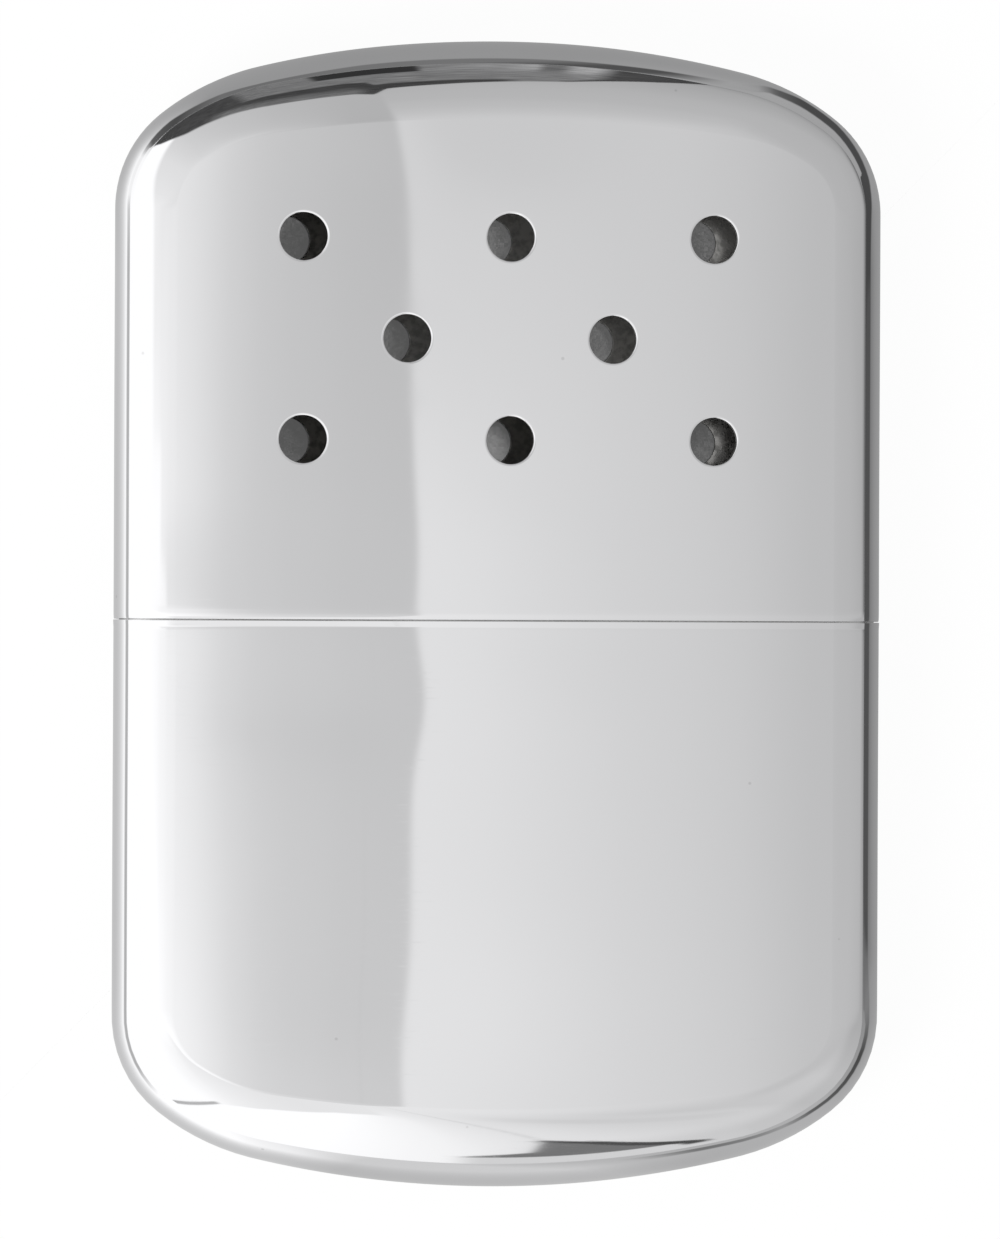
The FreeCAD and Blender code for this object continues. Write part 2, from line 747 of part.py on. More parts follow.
os.makedirs("parts", exist_ok=True)
for node, thing in nodes.items():
    thing.Shape.exportStep(f"parts/{node}.step")
    bounds = thing.Shape.BoundBox
    print(f"{node}: {len(thing.Shape.Solids)} solid, {thing.Shape.Volume:.1f} mm3, "
          f"X {bounds.XMin:.2f}..{bounds.XMax:.2f} Y {bounds.YMin:.2f}..{bounds.YMax:.2f} "
          f"Z {bounds.ZMin:.2f}..{bounds.ZMax:.2f}")
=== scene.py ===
import bpy
import json
import math
import numpy as np
from mathutils import Matrix, Vector


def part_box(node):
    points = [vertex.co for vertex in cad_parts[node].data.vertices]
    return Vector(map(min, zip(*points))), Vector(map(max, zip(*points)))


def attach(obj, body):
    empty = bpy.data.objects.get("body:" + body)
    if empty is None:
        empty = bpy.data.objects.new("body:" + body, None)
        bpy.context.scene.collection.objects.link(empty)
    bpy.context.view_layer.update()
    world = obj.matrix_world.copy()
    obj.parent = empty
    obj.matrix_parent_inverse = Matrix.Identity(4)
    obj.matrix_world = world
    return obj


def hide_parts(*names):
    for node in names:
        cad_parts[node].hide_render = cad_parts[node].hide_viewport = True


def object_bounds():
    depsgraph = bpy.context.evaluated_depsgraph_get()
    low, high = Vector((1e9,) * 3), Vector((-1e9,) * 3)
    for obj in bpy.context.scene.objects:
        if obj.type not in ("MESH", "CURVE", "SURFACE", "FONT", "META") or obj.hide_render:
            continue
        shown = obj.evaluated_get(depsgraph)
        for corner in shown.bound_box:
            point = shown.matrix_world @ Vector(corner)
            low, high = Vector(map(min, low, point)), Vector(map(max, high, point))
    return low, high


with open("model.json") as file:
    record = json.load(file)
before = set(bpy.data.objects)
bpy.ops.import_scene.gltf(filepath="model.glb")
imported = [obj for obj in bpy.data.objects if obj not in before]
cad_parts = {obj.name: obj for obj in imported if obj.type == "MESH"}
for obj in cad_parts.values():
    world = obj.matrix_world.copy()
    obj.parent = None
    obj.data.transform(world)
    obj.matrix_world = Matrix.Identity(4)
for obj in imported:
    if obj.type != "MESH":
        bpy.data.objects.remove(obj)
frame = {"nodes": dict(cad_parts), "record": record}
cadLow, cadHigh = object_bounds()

mm = 0.001
toDegrees = math.degrees(1)
print("frame loaded:", len(frame["nodes"]), "nodes")


class Wire:
    # One output socket. Arithmetic on it adds Math nodes to the same tree.
    def __init__(self, board, socket):
        self.board = board
        self.socket = socket

    def out(self, name):
        return Wire(self.board, self.socket.node.outputs[name])

    def __add__(self, other):
        return self.board.maths("ADD", self, other)

    def __sub__(self, other):
        return self.board.maths("SUBTRACT", self, other)

    def __rsub__(self, other):
        return self.board.maths("SUBTRACT", other, self)

    def __mul__(self, other):
        return self.board.maths("MULTIPLY", self, other)

    def __truediv__(self, other):
        return self.board.maths("DIVIDE", self, other)

    __radd__ = __add__


class Board:
    # A node tree, with one way of adding a node to it.
    def __init__(self, tree):
        self.tree = tree
        tree.nodes.clear()

    def node(self, kind, settings=None, sockets=None, output=0):
        made = self.tree.nodes.new("ShaderNode" + kind)
        for name, value in (settings or {}).items():
            if name == "stops":
                self.setStops(made.color_ramp, value)
            else:
                setattr(made, name, value)
        for name, value in (sockets or {}).items():
            if isinstance(value, Wire):
                self.tree.links.new(value.socket, made.inputs[name])
            elif isinstance(value, tuple) and made.inputs[name].type == "RGBA":
                made.inputs[name].default_value = (*value, 1.0)
            else:
                made.inputs[name].default_value = value
        return Wire(self, made.outputs[output]) if made.outputs else None

    def setStops(self, ramp, stops):
        for index, (place, level) in enumerate(stops):
            stop = ramp.elements[index] if index < 2 else ramp.elements.new(place)
            stop.position = place
            stop.color = (level, level, level, 1.0)

    def maths(self, operation, *values):
        return self.node("Math", {"operation": operation}, dict(enumerate(values)))

    def between(self, value, low, high, start=0.0, end=1.0, kind="SMOOTHSTEP"):
        # Start below low, end above high, and an S curve or a line in between.
        sockets = {"Value": value, "From Min": low, "From Max": high, "To Min": start, "To Max": end}
        return self.node("MapRange", {"interpolation_type": kind}, sockets)

    def window(self, value, rise, fall):
        # 1 between two edges, each given as the span that it fades over.
        return self.between(value, *rise) * self.between(value, *fall)

    def within(self, value, half):
        # The value, held between minus half and half.
        return self.maths("MAXIMUM", self.maths("MINIMUM", value, half), -half)

    def levels(self, value, stops, unit=1):
        # A curve through (value, level) pairs. The ramp holds each level as a share of the unit.
        low, high = stops[0][0], stops[-1][0]
        share = self.between(value, low, high, kind="LINEAR")
        scaled = [((place - low) / (high - low), level / unit) for place, level in stops]
        curve = self.node("ValToRGB", {"stops": scaled}, {"Fac": share})
        return curve if unit == 1 else curve * unit

    def blend(self, share, first, second):
        return self.node("Mix", {"data_type": "FLOAT"}, {0: share, 2: first, 3: second})

    def tint(self, share, first, second):
        return self.node("Mix", {"data_type": "RGBA"}, {0: share, 6: first, 7: second}, output=2)

    def objectPlace(self, scale, turn=(0, 0, 0)):
        place = self.node("TexCoord", output="Object")
        return self.node("Mapping", None, {"Vector": place, "Scale": scale, "Rotation": turn})

    def noise(self, place, scale, detail, rough):
        sockets = {"Vector": place, "Scale": scale, "Detail": detail, "Roughness": rough}
        return self.node("TexNoise", None, sockets)

    def principled(self, **sockets):
        named = {name.replace("_", " "): value for name, value in sockets.items()}
        shader = self.node("BsdfPrincipled", None, named)
        self.node("OutputMaterial", None, {"Surface": shader})


def newMaterial(name):
    material = bpy.data.materials.new(name)
    material.use_nodes = True
    return material, Board(material.node_tree)


# the camera hangs over the case, a little to its left

cameraPlan = {
    "target": Vector((0.2, -0.5, 7.0)) * mm,
    "distance": 1.0,
    "yaw": math.radians(8.4),
    "lean": math.radians(0.25),
    "frameHeight": 107.1 * mm,
    "sensor": 36.0,
}


def makeCamera():
    # Looks along the line from its place to the target; up is the length of the case, leant over.
    plan = cameraPlan
    back = Vector((-math.sin(plan["yaw"]), 0, math.cos(plan["yaw"])))
    side = Vector((0, 1, 0)).cross(back)
    up = Vector((0, 1, 0)) * math.cos(plan["lean"]) - side * math.sin(plan["lean"])
    right = up.cross(back)
    data = bpy.data.cameras.new("camera")
    data.sensor_width = plan["sensor"]
    data.lens = plan["sensor"] * plan["distance"] / plan["frameHeight"]
    data.clip_start, data.clip_end = 0.02, 20
    camera = bpy.data.objects.new("camera", data)
    bpy.context.scene.collection.objects.link(camera)
    turn = Matrix((right, up, back)).transposed().to_4x4()
    camera.matrix_world = Matrix.Translation(plan["target"] + back * plan["distance"]) @ turn
    bpy.context.scene.camera = camera


makeCamera()


# the studio: a white floor, one large soft lamp, and cards and flags all round in the world. Only
# mirrored rays see the cards, and matt surfaces get an even light. Levels are shares of the white
# card's. Angles are in degrees, and bearings go from 0 on the right through 90 at the back to 180 on
# the left, and below 0 through the front.

studio = {
    "ambient": 0.62,  # what the world gives to matt surfaces
    "white": 1.25,  # a card that the plating shows as pure white
    "halving": (-0.1, -0.02),  # leans along at which the front half of the world ends and the back starts
    "lampPower": 5.6,
    "lampSize": 0.3,
    "lampPlace": (-0.52, -0.34, 0.6),
}


def askRay(board):
    # Which ray is looking: 1 for one that was mirrored or let through, and 1 for the camera's own.
    path = board.node("LightPath")
    mirrored = board.maths("MAXIMUM", path.out("Is Glossy Ray"), path.out("Is Transmission Ray"))
    return mirrored, path.out("Is Camera Ray")


whiteFloor = {
    "half": 4.0,
    "colour": (0.93, 0.93, 0.93),
    "ownShade": 0.04,  # share of its real shading that the camera sees
    "coverReach": 0.03,  # how near a piece above has to be to cover the floor with painted shade
    "coverSpan": (0.1, 0.3),  # the openness at which the painted shade is full, and at which the floor is clear
    "coveredShade": 0.085,  # painted shade: how light the floor stays where it is covered
    "core": {"X": 13.4 * mm, "Y": 29.5 * mm},  # the case is taken as a box, from its middle
    "coreRadius": 20 * mm,  # with this radius round it
    # painted light and shade in what the plating sees of the floor, by the bearing round the case: beside
    # the case, and further off; pale on the left, dark on the right and behind
    "near": [
        (-180, 0.50), (-140, 0.54), (-105, 0.53), (-95, 0.485), (-88, 0.445), (-75, 0.40), (-50, 0.42),
        (-30, 0.38), (-4, 0.30), (0, 0.29), (90, 0.285), (125, 0.32), (150, 0.42), (180, 0.50)],
    "far": [
        (-180, 1.0), (-110, 1.0), (-98, 0.85), (-90, 0.6), (-80, 0.48), (-70, 0.42), (-45, 0.42),
        (-30, 0.33), (-4, 0.26), (-1, 0.2), (1, 0.19), (20, 0.33), (60, 0.35), (90, 0.29), (120, 0.3),
        (140, 0.6), (150, 0.95), (180, 1.0)],
    "nearToFar": (3, 38),  # millimetres from the case
    # a painted dark band in that reflection: its start and end in millimetres from the case, and how strong
    # it is
    "bandStart": [
        (-180, 38), (-100, 38), (-75, 45), (-62, 45), (-50, 32), (-30, 28), (-18, 26), (-5, 28), (-1, 40),
        (2, 42), (20, 20), (41, 9), (50, 7), (60, 12), (72, 40), (80, 50), (90, 55), (104, 90), (114, 50),
        (130, 32), (150, 38), (180, 38)],
    "bandEnd": [
        (-180, 85), (-100, 85), (-75, 110), (-62, 110), (-50, 66), (-8, 62), (-4, 120), (-1, 400),
        (1, 1000), (8, 1000), (20, 60), (41, 32), (50, 26), (60, 30), (70, 200), (75, 1000), (130, 1000),
        (145, 85), (180, 85)],
    "bandShare": [
        (-180, 0.6), (-150, 0.6), (-142, 0.3), (-135, 0), (-78, 0), (-70, 0.7), (-60, 0.5), (-54, 0.3),
        (-46, 0.85), (-20, 0.95), (-11, 0.6), (-5, 0.3), (-1, 0.4), (0, 0.8), (1.5, 0.95), (50, 0.95),
        (57, 0.8), (62, 0.1), (68, 0), (74, 0.9), (80, 0.9), (88, 0.5), (104, 0.6), (114, 0.6), (127, 0.95),
        (142, 0.9), (150, 0.1), (168, 0.1), (178, 0.6), (180, 0.6)],
    "bandBlur": (0.85, 1.15),  # each edge fades between these shares of its distance
    "bandLevel": 0.05,
}


def makeFloor():
    plan = whiteFloor
    half = plan["half"]
    mesh = bpy.data.meshes.new("floor")
    corners = [(-half, -half, 0), (half, -half, 0), (half, half, 0), (-half, half, 0)]
    mesh.from_pydata(corners, [], [(0, 1, 2, 3)])
    floor = bpy.data.objects.new("floor", mesh)
    bpy.context.scene.collection.objects.link(floor)
    material, board = newMaterial("white_floor")
    mirrored, direct = askRay(board)
    # painted shade under the case: where a piece is close above, the ambient occlusion darkens the floor's
    # colour and its glow
    openness = board.node("AmbientOcclusion", {"samples": 16}, {"Distance": plan["coverReach"]}, "AO")
    cover = board.between(openness, *plan["coverSpan"], plan["coveredShade"], 1.0)

    # the distance from the case in millimetres, and the bearing of that
    axes = board.node("SeparateXYZ", None, {0: board.node("TexCoord", output="Object")})
    aside, ahead = (axes.out(name) - board.within(axes.out(name), plan["core"][name]) for name in "XY")
    away = (board.maths("SQRT", aside * aside + ahead * ahead) - plan["coreRadius"]) / mm
    bearing = board.maths("ARCTAN2", ahead, aside) * toDegrees

    # painted light and shade for mirrored rays: a level by bearing, beside the case and further off, with a
    # painted dark band
    near, far, strong = (board.levels(bearing, plan[name]) for name in ("near", "far", "bandShare"))
    start, end = (board.levels(bearing, plan[name], 1000) for name in ("bandStart", "bandEnd"))
    blur = plan["bandBlur"]
    band = board.between(away / start, *blur) * board.between(away / end, *blur[::-1]) * strong
    level = board.blend(board.between(away, *plan["nearToFar"]), near, far)
    paintedReflection = board.blend(band, level, plan["bandLevel"]) * studio["white"]

    colour = board.tint(cover, (0.0, 0.0, 0.0), plan["colour"])
    matt = board.node("BsdfDiffuse", None, {"Color": colour})
    strength = cover * board.blend(mirrored, 1.0, paintedReflection)
    glow = board.node("Emission", None, {"Color": (1.0, 1.0, 1.0), "Strength": strength})
    share = board.maths("MAXIMUM", direct * (1 - plan["ownShade"]), mirrored)
    mixed = board.node("MixShader", None, {0: share, 1: matt, 2: glow})
    board.node("OutputMaterial", None, {"Surface": mixed})
    mesh.materials.append(material)


def makeLamp():
    data = bpy.data.lights.new("soft_lamp", "AREA")
    data.size = studio["lampSize"]
    data.energy = studio["lampPower"]
    lamp = bpy.data.objects.new("soft_lamp", data)
    bpy.context.scene.collection.objects.link(lamp)
    lamp.location = studio["lampPlace"]
    lamp.rotation_euler = (-lamp.location).to_track_quat("-Z", "Y").to_euler()
    lamp.visible_glossy = False


class Heading:
    # Where a ray goes: its leans from straight up, across (X) and along (Y), its height over the
    # horizon, and its bearing round it.
    def __init__(self, board):
        self.ray = board.node("TexCoord", output="Generated")
        axes = board.node("SeparateXYZ", None, {0: self.ray})
        self.x, self.y, self.z = (axes.out(name) for name in "XYZ")
        self.across = board.maths("ARCTAN2", self.x, self.z) * toDegrees
        self.along = board.maths("ARCTAN2", self.y, self.z) * toDegrees
        self.height = board.maths("ARCSINE", self.z) * toDegrees
        self.bearing = board.maths("ARCTAN2", self.y, self.x) * toDegrees
        self.backHalf = board.between(self.along, *studio["halving"])


ceiling = {
    # a grey panel on the left: its level by the lean across, and as shares of the middle's by the
    # lean along, with a duller corner just behind the middle line
    "panelAcross": [
        (-70, 1.0), (-60, 0.99), (-50, 0.96), (-45, 0.94), (-39, 0.90), (-32, 0.885), (-25, 0.86),
        (-17, 0.85), (-10.5, 0.83), (-9.3, 0.765), (-7.6, 0.66), (-5.9, 0.60), (-4.2, 0.572),
        (-2.5, 0.56), (-1, 0.545), (4, 0.525)],
    "panelAlong": [
        (-4, 1.07), (-2.3, 1.01), (-1.6, 0.96), (-0.25, 0.935), (0.5, 0.90), (1.5, 0.88), (1.9, 0.865),
        (2.1, 0.853), (2.25, 0.832), (2.45, 0.805), (4, 0.80)],
    "panelMiddle": 0.91,
    "cornerAlong": (0.6, 0.1),
    "cornerAcross": (-4.5, -9.5),
    "cornerDull": 0.13,
    # further back its level goes by the bearing round a point a little in front of straight up
    "panelBack": [
        (85, 0.43), (94, 0.44), (104, 0.485), (114, 0.525), (118, 0.54), (123, 0.57), (130, 0.625),
        (137, 0.665), (142, 0.70), (146, 0.73), (154, 0.75), (165, 0.79), (180, 0.9)],
    "backCentre": 0.08,
    "toBack": (1.5, 5.5),
    # the panel's right edge, where the cloth starts: leant, and bent towards the front
    "edgeAt": (2.6, 3.2),
    "edgeLean": 0.075,
    "edgeBendFrom": -2.6,
    "edgeBend": 0.24,
    "panelFront": (-5.8, -6.8),
    # a paler cloth on the right: its level by the lean across, and shares of it by the lean along,
    # one run for the middle and a plain one for the right
    "clothAcross": [
        (-60, 1.0), (-45, 0.95), (-30, 0.90), (-24, 0.87), (-20, 0.83), (-14, 0.79), (-5, 0.73),
        (0, 0.74), (3.5, 0.744), (7, 0.72), (11, 0.675), (15, 0.632), (19, 0.60), (22, 0.57),
        (26, 0.508), (30, 0.485), (40, 0.475), (60, 0.464), (90, 0.42)],
    "clothMiddle": [
        (-4, 1.06), (-2.4, 1.04), (-1.4, 1.0), (0.3, 0.995), (0.7, 0.97), (1.2, 0.935), (1.7, 0.89),
        (2.2, 0.845), (2.6, 0.8), (3.6, 0.785), (10, 0.77)],
    "clothRight": (-3, 4, 1.06, 0.94),
    "rightToMiddle": (20, 4),
    # the most that it has further back, by the lean along
    "clothBack": [
        (0, 1.5), (1, 0.9), (3, 0.62), (6, 0.57), (9, 0.553), (13, 0.53), (18, 0.508), (22, 0.492),
        (27, 0.482), (34, 0.46), (43, 0.452), (52, 0.44), (60, 0.42), (74, 0.39), (90, 0.36)],
    # its shares near the horizon, by the height: all round, and on the right
    "clothLow": [(-1, 0.5), (1.5, 0.9), (8, 1.0)],
    "clothLowRight": [(0, 0.28), (2, 0.58), (4, 0.85), (7, 1.0), (8, 1.0)],
    "rightSide": ((-4, 1), (38, 22)),
}


def hangCeiling(board, look):
    # The panel's level left of the edge and the cloth's right of it and in front.
    plan, across, along = ceiling, look.across, look.along
    panel = board.levels(across, plan["panelAcross"])
    panel = panel * board.levels(along, plan["panelAlong"]) / plan["panelMiddle"]
    corner = board.between(along, *plan["cornerAlong"]) * board.between(across, *plan["cornerAcross"])
    panel = panel * (1 - corner * look.backHalf * plan["cornerDull"])
    turned = board.maths("ARCTAN2", look.y + look.z * plan["backCentre"], look.x) * toDegrees
    panelBack = board.levels(turned, plan["panelBack"])
    panel = board.blend(board.between(along, *plan["toBack"]), panel, panelBack)

    right = board.between(along, *plan["clothRight"], "LINEAR")
    middle = board.levels(along, plan["clothMiddle"])
    share = board.blend(board.between(across, *plan["rightToMiddle"]), right, middle)
    cloth = board.levels(across, plan["clothAcross"]) * share
    cloth = board.maths("MINIMUM", cloth, board.levels(along, plan["clothBack"]))
    low, lowRight = (board.levels(look.height, plan[name]) for name in ("clothLow", "clothLowRight"))
    cloth = cloth * board.blend(board.window(look.bearing, *plan["rightSide"]), low, lowRight)

    drop = board.maths("MAXIMUM", plan["edgeBendFrom"] - along, 0.0)
    edge = across + along * plan["edgeLean"] + drop * drop * plan["edgeBend"]
    past, front = board.between(edge, *plan["edgeAt"]), board.between(along, *plan["panelFront"])
    return board.blend(board.maths("MAXIMUM", past, front), panel, cloth)


cards = {
    # a white one on the left: the lean across at its edge, by the lean along, and two steps of that
    # edge in the back half
    "leftEdge": [
        (-45, -31), (-25, -40), (-14, -42), (-10, -29), (-4, -25), (-2.7, -27), (-2.2, -58), (-1, -61),
        (0.6, -52), (8, -53), (30, -58), (60, -62)],
    "leftSteps": [((1.5, 1.1), 13), ((0.35, 0.02), 14)],
    "leftBlur": (-5, -12, 3.5, 11),  # its softness goes from 3.5 to 11 between these leans along
    # one in front: the height of its top by the bearing, then a fade to the right by the lean along
    "frontTop": [
        (-125, 20), (-122, 30), (-120, 38), (-114.5, 50), (-105, 60), (-97.5, 68.5), (-90, 71), (-85, 71)],
    "frontBlur": (1.2, -1.2),
    "frontLeft": (-126, -121),
    "frontTurn": (-89, -86),
    "frontFade": (-6, -26),
    "frontRight": (8, -8),
    "frontLevel": [
        (-95, 1.0), (-92, 0.97), (-88, 0.92), (-85, 0.89), (-82, 0.83), (-78, 0.78), (-74, 0.755),
        (-70, 0.72), (-65, 0.67), (-60, 0.63), (-50, 0.61), (-45, 0.565), (-30, 0.57), (-15, 0.5),
        (0, 0.44)],
    # it is a little duller low down
    "lowHeight": (36, 15),
    "lowBearing": (-84, -70),
    "lowDull": 0.12,
    # a faint crease in the cloth: a slanted line, with its reach on both sides and its ends
    "creaseSlant": 0.95,
    "creaseAt": 10,
    "creaseWidth": (4, 1.2),
    "creaseEnds": ((5, 10), (36, 26)),
    "creaseDull": 0.03,
    # the gap between the two cards
    "gapBearing": -124.5,
    "gapLean": 0.12,
    "gapWidth": (1.3, 0.5),
    "gapTop": (44, 38),
    "gapLevel": 0.45,
}


def hangCards(board, look, sky):
    # Each is laid over what is there by its own share.
    plan, across, along, height, bearing = cards, look.across, look.along, look.height, look.bearing
    first, second = (board.between(along, *span) * reach for span, reach in plan["leftSteps"])
    leftEdge = board.levels(along, plan["leftEdge"], -100) + look.backHalf * (first + second)
    outside = (across - leftEdge) / board.between(along, *plan["leftBlur"])
    sky = board.blend(board.between(outside, 1, -1), sky, 1.0)

    under = height - board.levels(bearing, plan["frontTop"], 100)
    card = board.between(under, *plan["frontBlur"]) * board.between(bearing, *plan["frontLeft"])
    faded = board.between(along, *plan["frontFade"]) * board.between(bearing, *plan["frontRight"])
    card = board.blend(board.between(bearing, *plan["frontTurn"]), card, faded)
    low = board.between(height, *plan["lowHeight"]) * board.between(bearing, *plan["lowBearing"])
    level = board.levels(bearing, plan["frontLevel"]) * (1 - low * plan["lowDull"])
    sky = board.blend(card, sky, level)

    crease = board.maths("ABSOLUTE", along + across * plan["creaseSlant"] + plan["creaseAt"])
    crease = board.between(crease, *plan["creaseWidth"]) * board.window(across, *plan["creaseEnds"])
    sky = sky - crease * plan["creaseDull"]
    gap = board.maths("ABSOLUTE", bearing - plan["gapBearing"] - height * plan["gapLean"])
    gap = board.between(gap, *plan["gapWidth"]) * board.between(height, *plan["gapTop"])
    return board.blend(gap, sky, plan["gapLevel"])


wedge = {
    # the bearings of its two sides, by the height
    "right": [(0, -66), (10, -66.3), (20, -69), (31, -71.3), (40, -75.5)],
    "left": [(12, -85), (15, -83.5), (20, -79), (30, -77.5), (40, -75.7)],
    "rightBlur": (0.4, -0.4),
    "leftBlur": (-0.5, 0.7),
    "bottom": (11, 13),
    "level": 0.17,
    # a black line along the right side
    "lineIn": 1.1,
    "lineWidth": (1.4, 0.7),
    "lineEnds": ((4, 8), (40, 36)),
    "lineLevel": 0.07,
    # the paler foot under it
    "footSides": ((-86, -83), (-66, -69)),
    "footTop": (13, 10),
    "footLevel": 0.63,
}


def standWedge(board, look, sky):
    # Low in front.
    plan, height, bearing = wedge, look.height, look.bearing
    left, right = (bearing - board.levels(height, plan[name], -100) for name in ("left", "right"))
    foot = board.window(bearing, *plan["footSides"]) * board.between(height, *plan["footTop"])
    sky = board.blend(foot, sky, plan["footLevel"])
    body = board.between(left, *plan["leftBlur"]) * board.between(right, *plan["rightBlur"])
    sky = board.blend(body * board.between(height, *plan["bottom"]), sky, plan["level"])
    line = board.between(board.maths("ABSOLUTE", right + plan["lineIn"]), *plan["lineWidth"])
    return board.blend(line * board.window(height, *plan["lineEnds"]), sky, plan["lineLevel"])


room = {
    # the height of its top by the bearing, counted from below the horizon
    "top": [
        (60, 0), (66, 4), (67.5, 11), (70, 22.5), (72.5, 30), (76, 38.7), (81, 42), (85, 45), (90, 47.5),
        (91.2, 55.5), (93.7, 52), (105, 50.6), (111, 48), (120, 42.5), (127.5, 37.5), (133.7, 30),
        (137.5, 23.7), (140, 18.7), (141.5, 12.5), (146, 2), (150, 0)],
    "topFrom": -10,
    "sides": ((66, 67.5), (147, 145)),
    "topBlur": (95, 125, 0.8, 2.4),
    # levels by the bearing: low down, higher up, and in the rim under the top, which is so wide
    "low": [
        (66, 0.05), (73.8, 0.06), (74.8, 0.2), (75.6, 0.33), (77, 0.31), (78, 0.13), (79.2, 0.13),
        (79.8, 0.3), (82, 0.24), (86, 0.19), (96, 0.165), (107, 0.155), (110.5, 0.055), (150, 0.05)],
    "deep": [
        (66, 0.05), (73.5, 0.06), (75, 0.2), (77, 0.18), (107, 0.15), (110.5, 0.055), (150, 0.06)],
    "lowToDeep": (8, 17),
    "rim": [
        (66, 0.05), (75, 0.05), (77, 0.17), (79.5, 0.17), (81, 0.05), (92, 0.045), (150, 0.06)],
    "rimWidth": [
        (70, 3), (76, 3), (80, 3.5), (84, 6), (90, 8.5), (92, 20), (97, 19), (104, 18.5), (108, 17),
        (112, 12), (130, 6)],
    "rimBlur": (1.2, -1.2),
    # the rim is paler towards the top for a stretch
    "paleDepth": (14, 3),
    "paleSides": ((91, 94), (123, 116)),
    "pale": 0.09,
    # cloudy all over, and with a black block low in the middle
    "cloudScale": (26, 26, 60),
    "cloudSpan": (0.3, 0.75, 0.72, 1.5),
    "blockSides": ((86.8, 87.6), (96.4, 95.6)),
    "blockTop": (11.5, 10),
    "blockLevel": 0.03,
}


def openRoom(board, look, sky):
    # Behind the case: black on the left, grey in the middle, and black along its right edge.
    plan, height, bearing = room, look.height, look.bearing
    under = board.levels(bearing, plan["top"], 100) + plan["topFrom"] - height
    inside = board.between(under / board.between(bearing, *plan["topBlur"]), -1, 1)
    inside = inside * board.window(bearing, *plan["sides"])
    low, deep, rim = (board.levels(bearing, plan[name]) for name in ("low", "deep", "rim"))
    pale = board.between(under, *plan["paleDepth"]) * board.window(bearing, *plan["paleSides"])
    rim = rim + pale * plan["pale"]
    deep = board.blend(board.between(height, *plan["lowToDeep"]), low, deep)
    inRim = board.between(under - board.levels(bearing, plan["rimWidth"], 100), *plan["rimBlur"])
    dark = board.blend(inRim, deep, rim)
    place = board.node("Mapping", None, {"Vector": look.ray, "Scale": plan["cloudScale"]})
    dark = dark * board.between(board.noise(place, 1.0, 3, 0.6), *plan["cloudSpan"], "LINEAR")
    block = board.window(bearing, *plan["blockSides"]) * board.between(height, *plan["blockTop"])
    return board.blend(inside, sky, board.blend(block, dark, plan["blockLevel"]))


def makeWorld():
    world = bpy.data.worlds.new("studio")
    bpy.context.scene.world = world
    world.use_nodes = True
    world.cycles.sampling_method = "NONE"
    board = Board(world.node_tree)
    look = Heading(board)
    sky = hangCeiling(board, look)
    for add in (hangCards, standWedge, openRoom):
        sky = add(board, look, sky)
    mirrored, direct = askRay(board)
    light = board.blend(mirrored, studio["ambient"], sky * studio["white"])
    light = board.blend(direct, light, 1.0)
    shade = board.node("Background", None, {"Color": (1.0, 1.0, 1.0), "Strength": light})
    board.node("OutputWorld", None, {"Surface": shade})


makeFloor()
makeLamp()
makeWorld()
bpy.context.scene.view_settings.view_transform = "Standard"
print("studio ready")


# meshes from grids

weldCell = 0.00037 * mm  # points in one cell of this size become one
weldShift = 0.137  # share of a cell, which keeps round coordinates off the borders of the cells


class Quilt:
    # Patches of one surface, each a grid of points with their normals, sewn together where they meet.
    def __init__(self):
        self.points = []
        self.normals = []
        self.insides = []
        self.faces = []
        self.count = 0

    def add(self, points, normals, inside, keep=None):
        rows, columns = points.shape[:2]
        index = np.arange(rows * columns).reshape(rows, columns)
        quads = np.stack([index[:-1, :-1], index[1:, :-1], index[1:, 1:], index[:-1, 1:]], -1)
        quads = quads.reshape(-1, 4) if keep is None else quads[keep]
        points = points.reshape(-1, 3)
        normals = normals.reshape(-1, 3)
        a, b, c, d = (points[quads[:, k]] for k in range(4))
        facing = (np.cross(c - a, d - b) * normals[quads[:, 0]]).sum()
        if facing < 0:
            quads = quads[:, ::-1]
        self.points.append(points)
        self.normals.append(normals)
        self.insides.append(np.broadcast_to(inside, (rows, columns)).reshape(-1))
        self.faces.append(quads + self.count)
        self.count += rows * columns

    def sew(self, name, exact=True):
        # Points in one cell become one, with the mean of their normals. A quad that loses a side that
        # way is left as a triangle.
        points = np.concatenate(self.points)
        normals = np.concatenate(self.normals)
        cells = np.round(points / weldCell + weldShift).astype(np.int64)
        kept, first, merged = np.unique(cells, axis=0, return_index=True, return_inverse=True)
        merged = merged.reshape(-1)
        faces = merged[np.concatenate(self.faces)]
        twin = faces == np.roll(faces, 1, axis=1)
        closed = twin.any(axis=1)
        corners = np.argsort(twin[closed], axis=1, kind="stable")[:, :3]
        triangles = np.take_along_axis(faces[closed], corners, axis=1)
        faces = faces[~closed].tolist() + triangles.tolist()
        mesh = bpy.data.meshes.new(name)
        mesh.from_pydata(points[first], [], faces)
        mesh.polygons.foreach_set("use_smooth", np.ones(len(faces), bool))
        inside = mesh.attributes.new("inside", "FLOAT", "POINT")
        inside.data.foreach_set("value", np.concatenate(self.insides)[first].astype(np.float32))
        mesh.update()
        if exact:
            total = np.zeros((len(kept), 3))
            np.add.at(total, merged, normals)
            total /= np.linalg.norm(total, axis=1, keepdims=True)
            mesh.normals_split_custom_set_from_vertices(total)
        return mesh


def place(mesh, body, nodes, slot, material):
    # The finished mesh becomes a piece that rides on a body and stands for its CAD nodes.
    mesh.materials.append(material)
    piece = bpy.data.objects.new(mesh.name, mesh)
    bpy.context.scene.collection.objects.link(piece)
    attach(piece, body)
    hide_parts(*nodes)
    return piece


# the case: two pressed halves with crowned faces and a full round rim

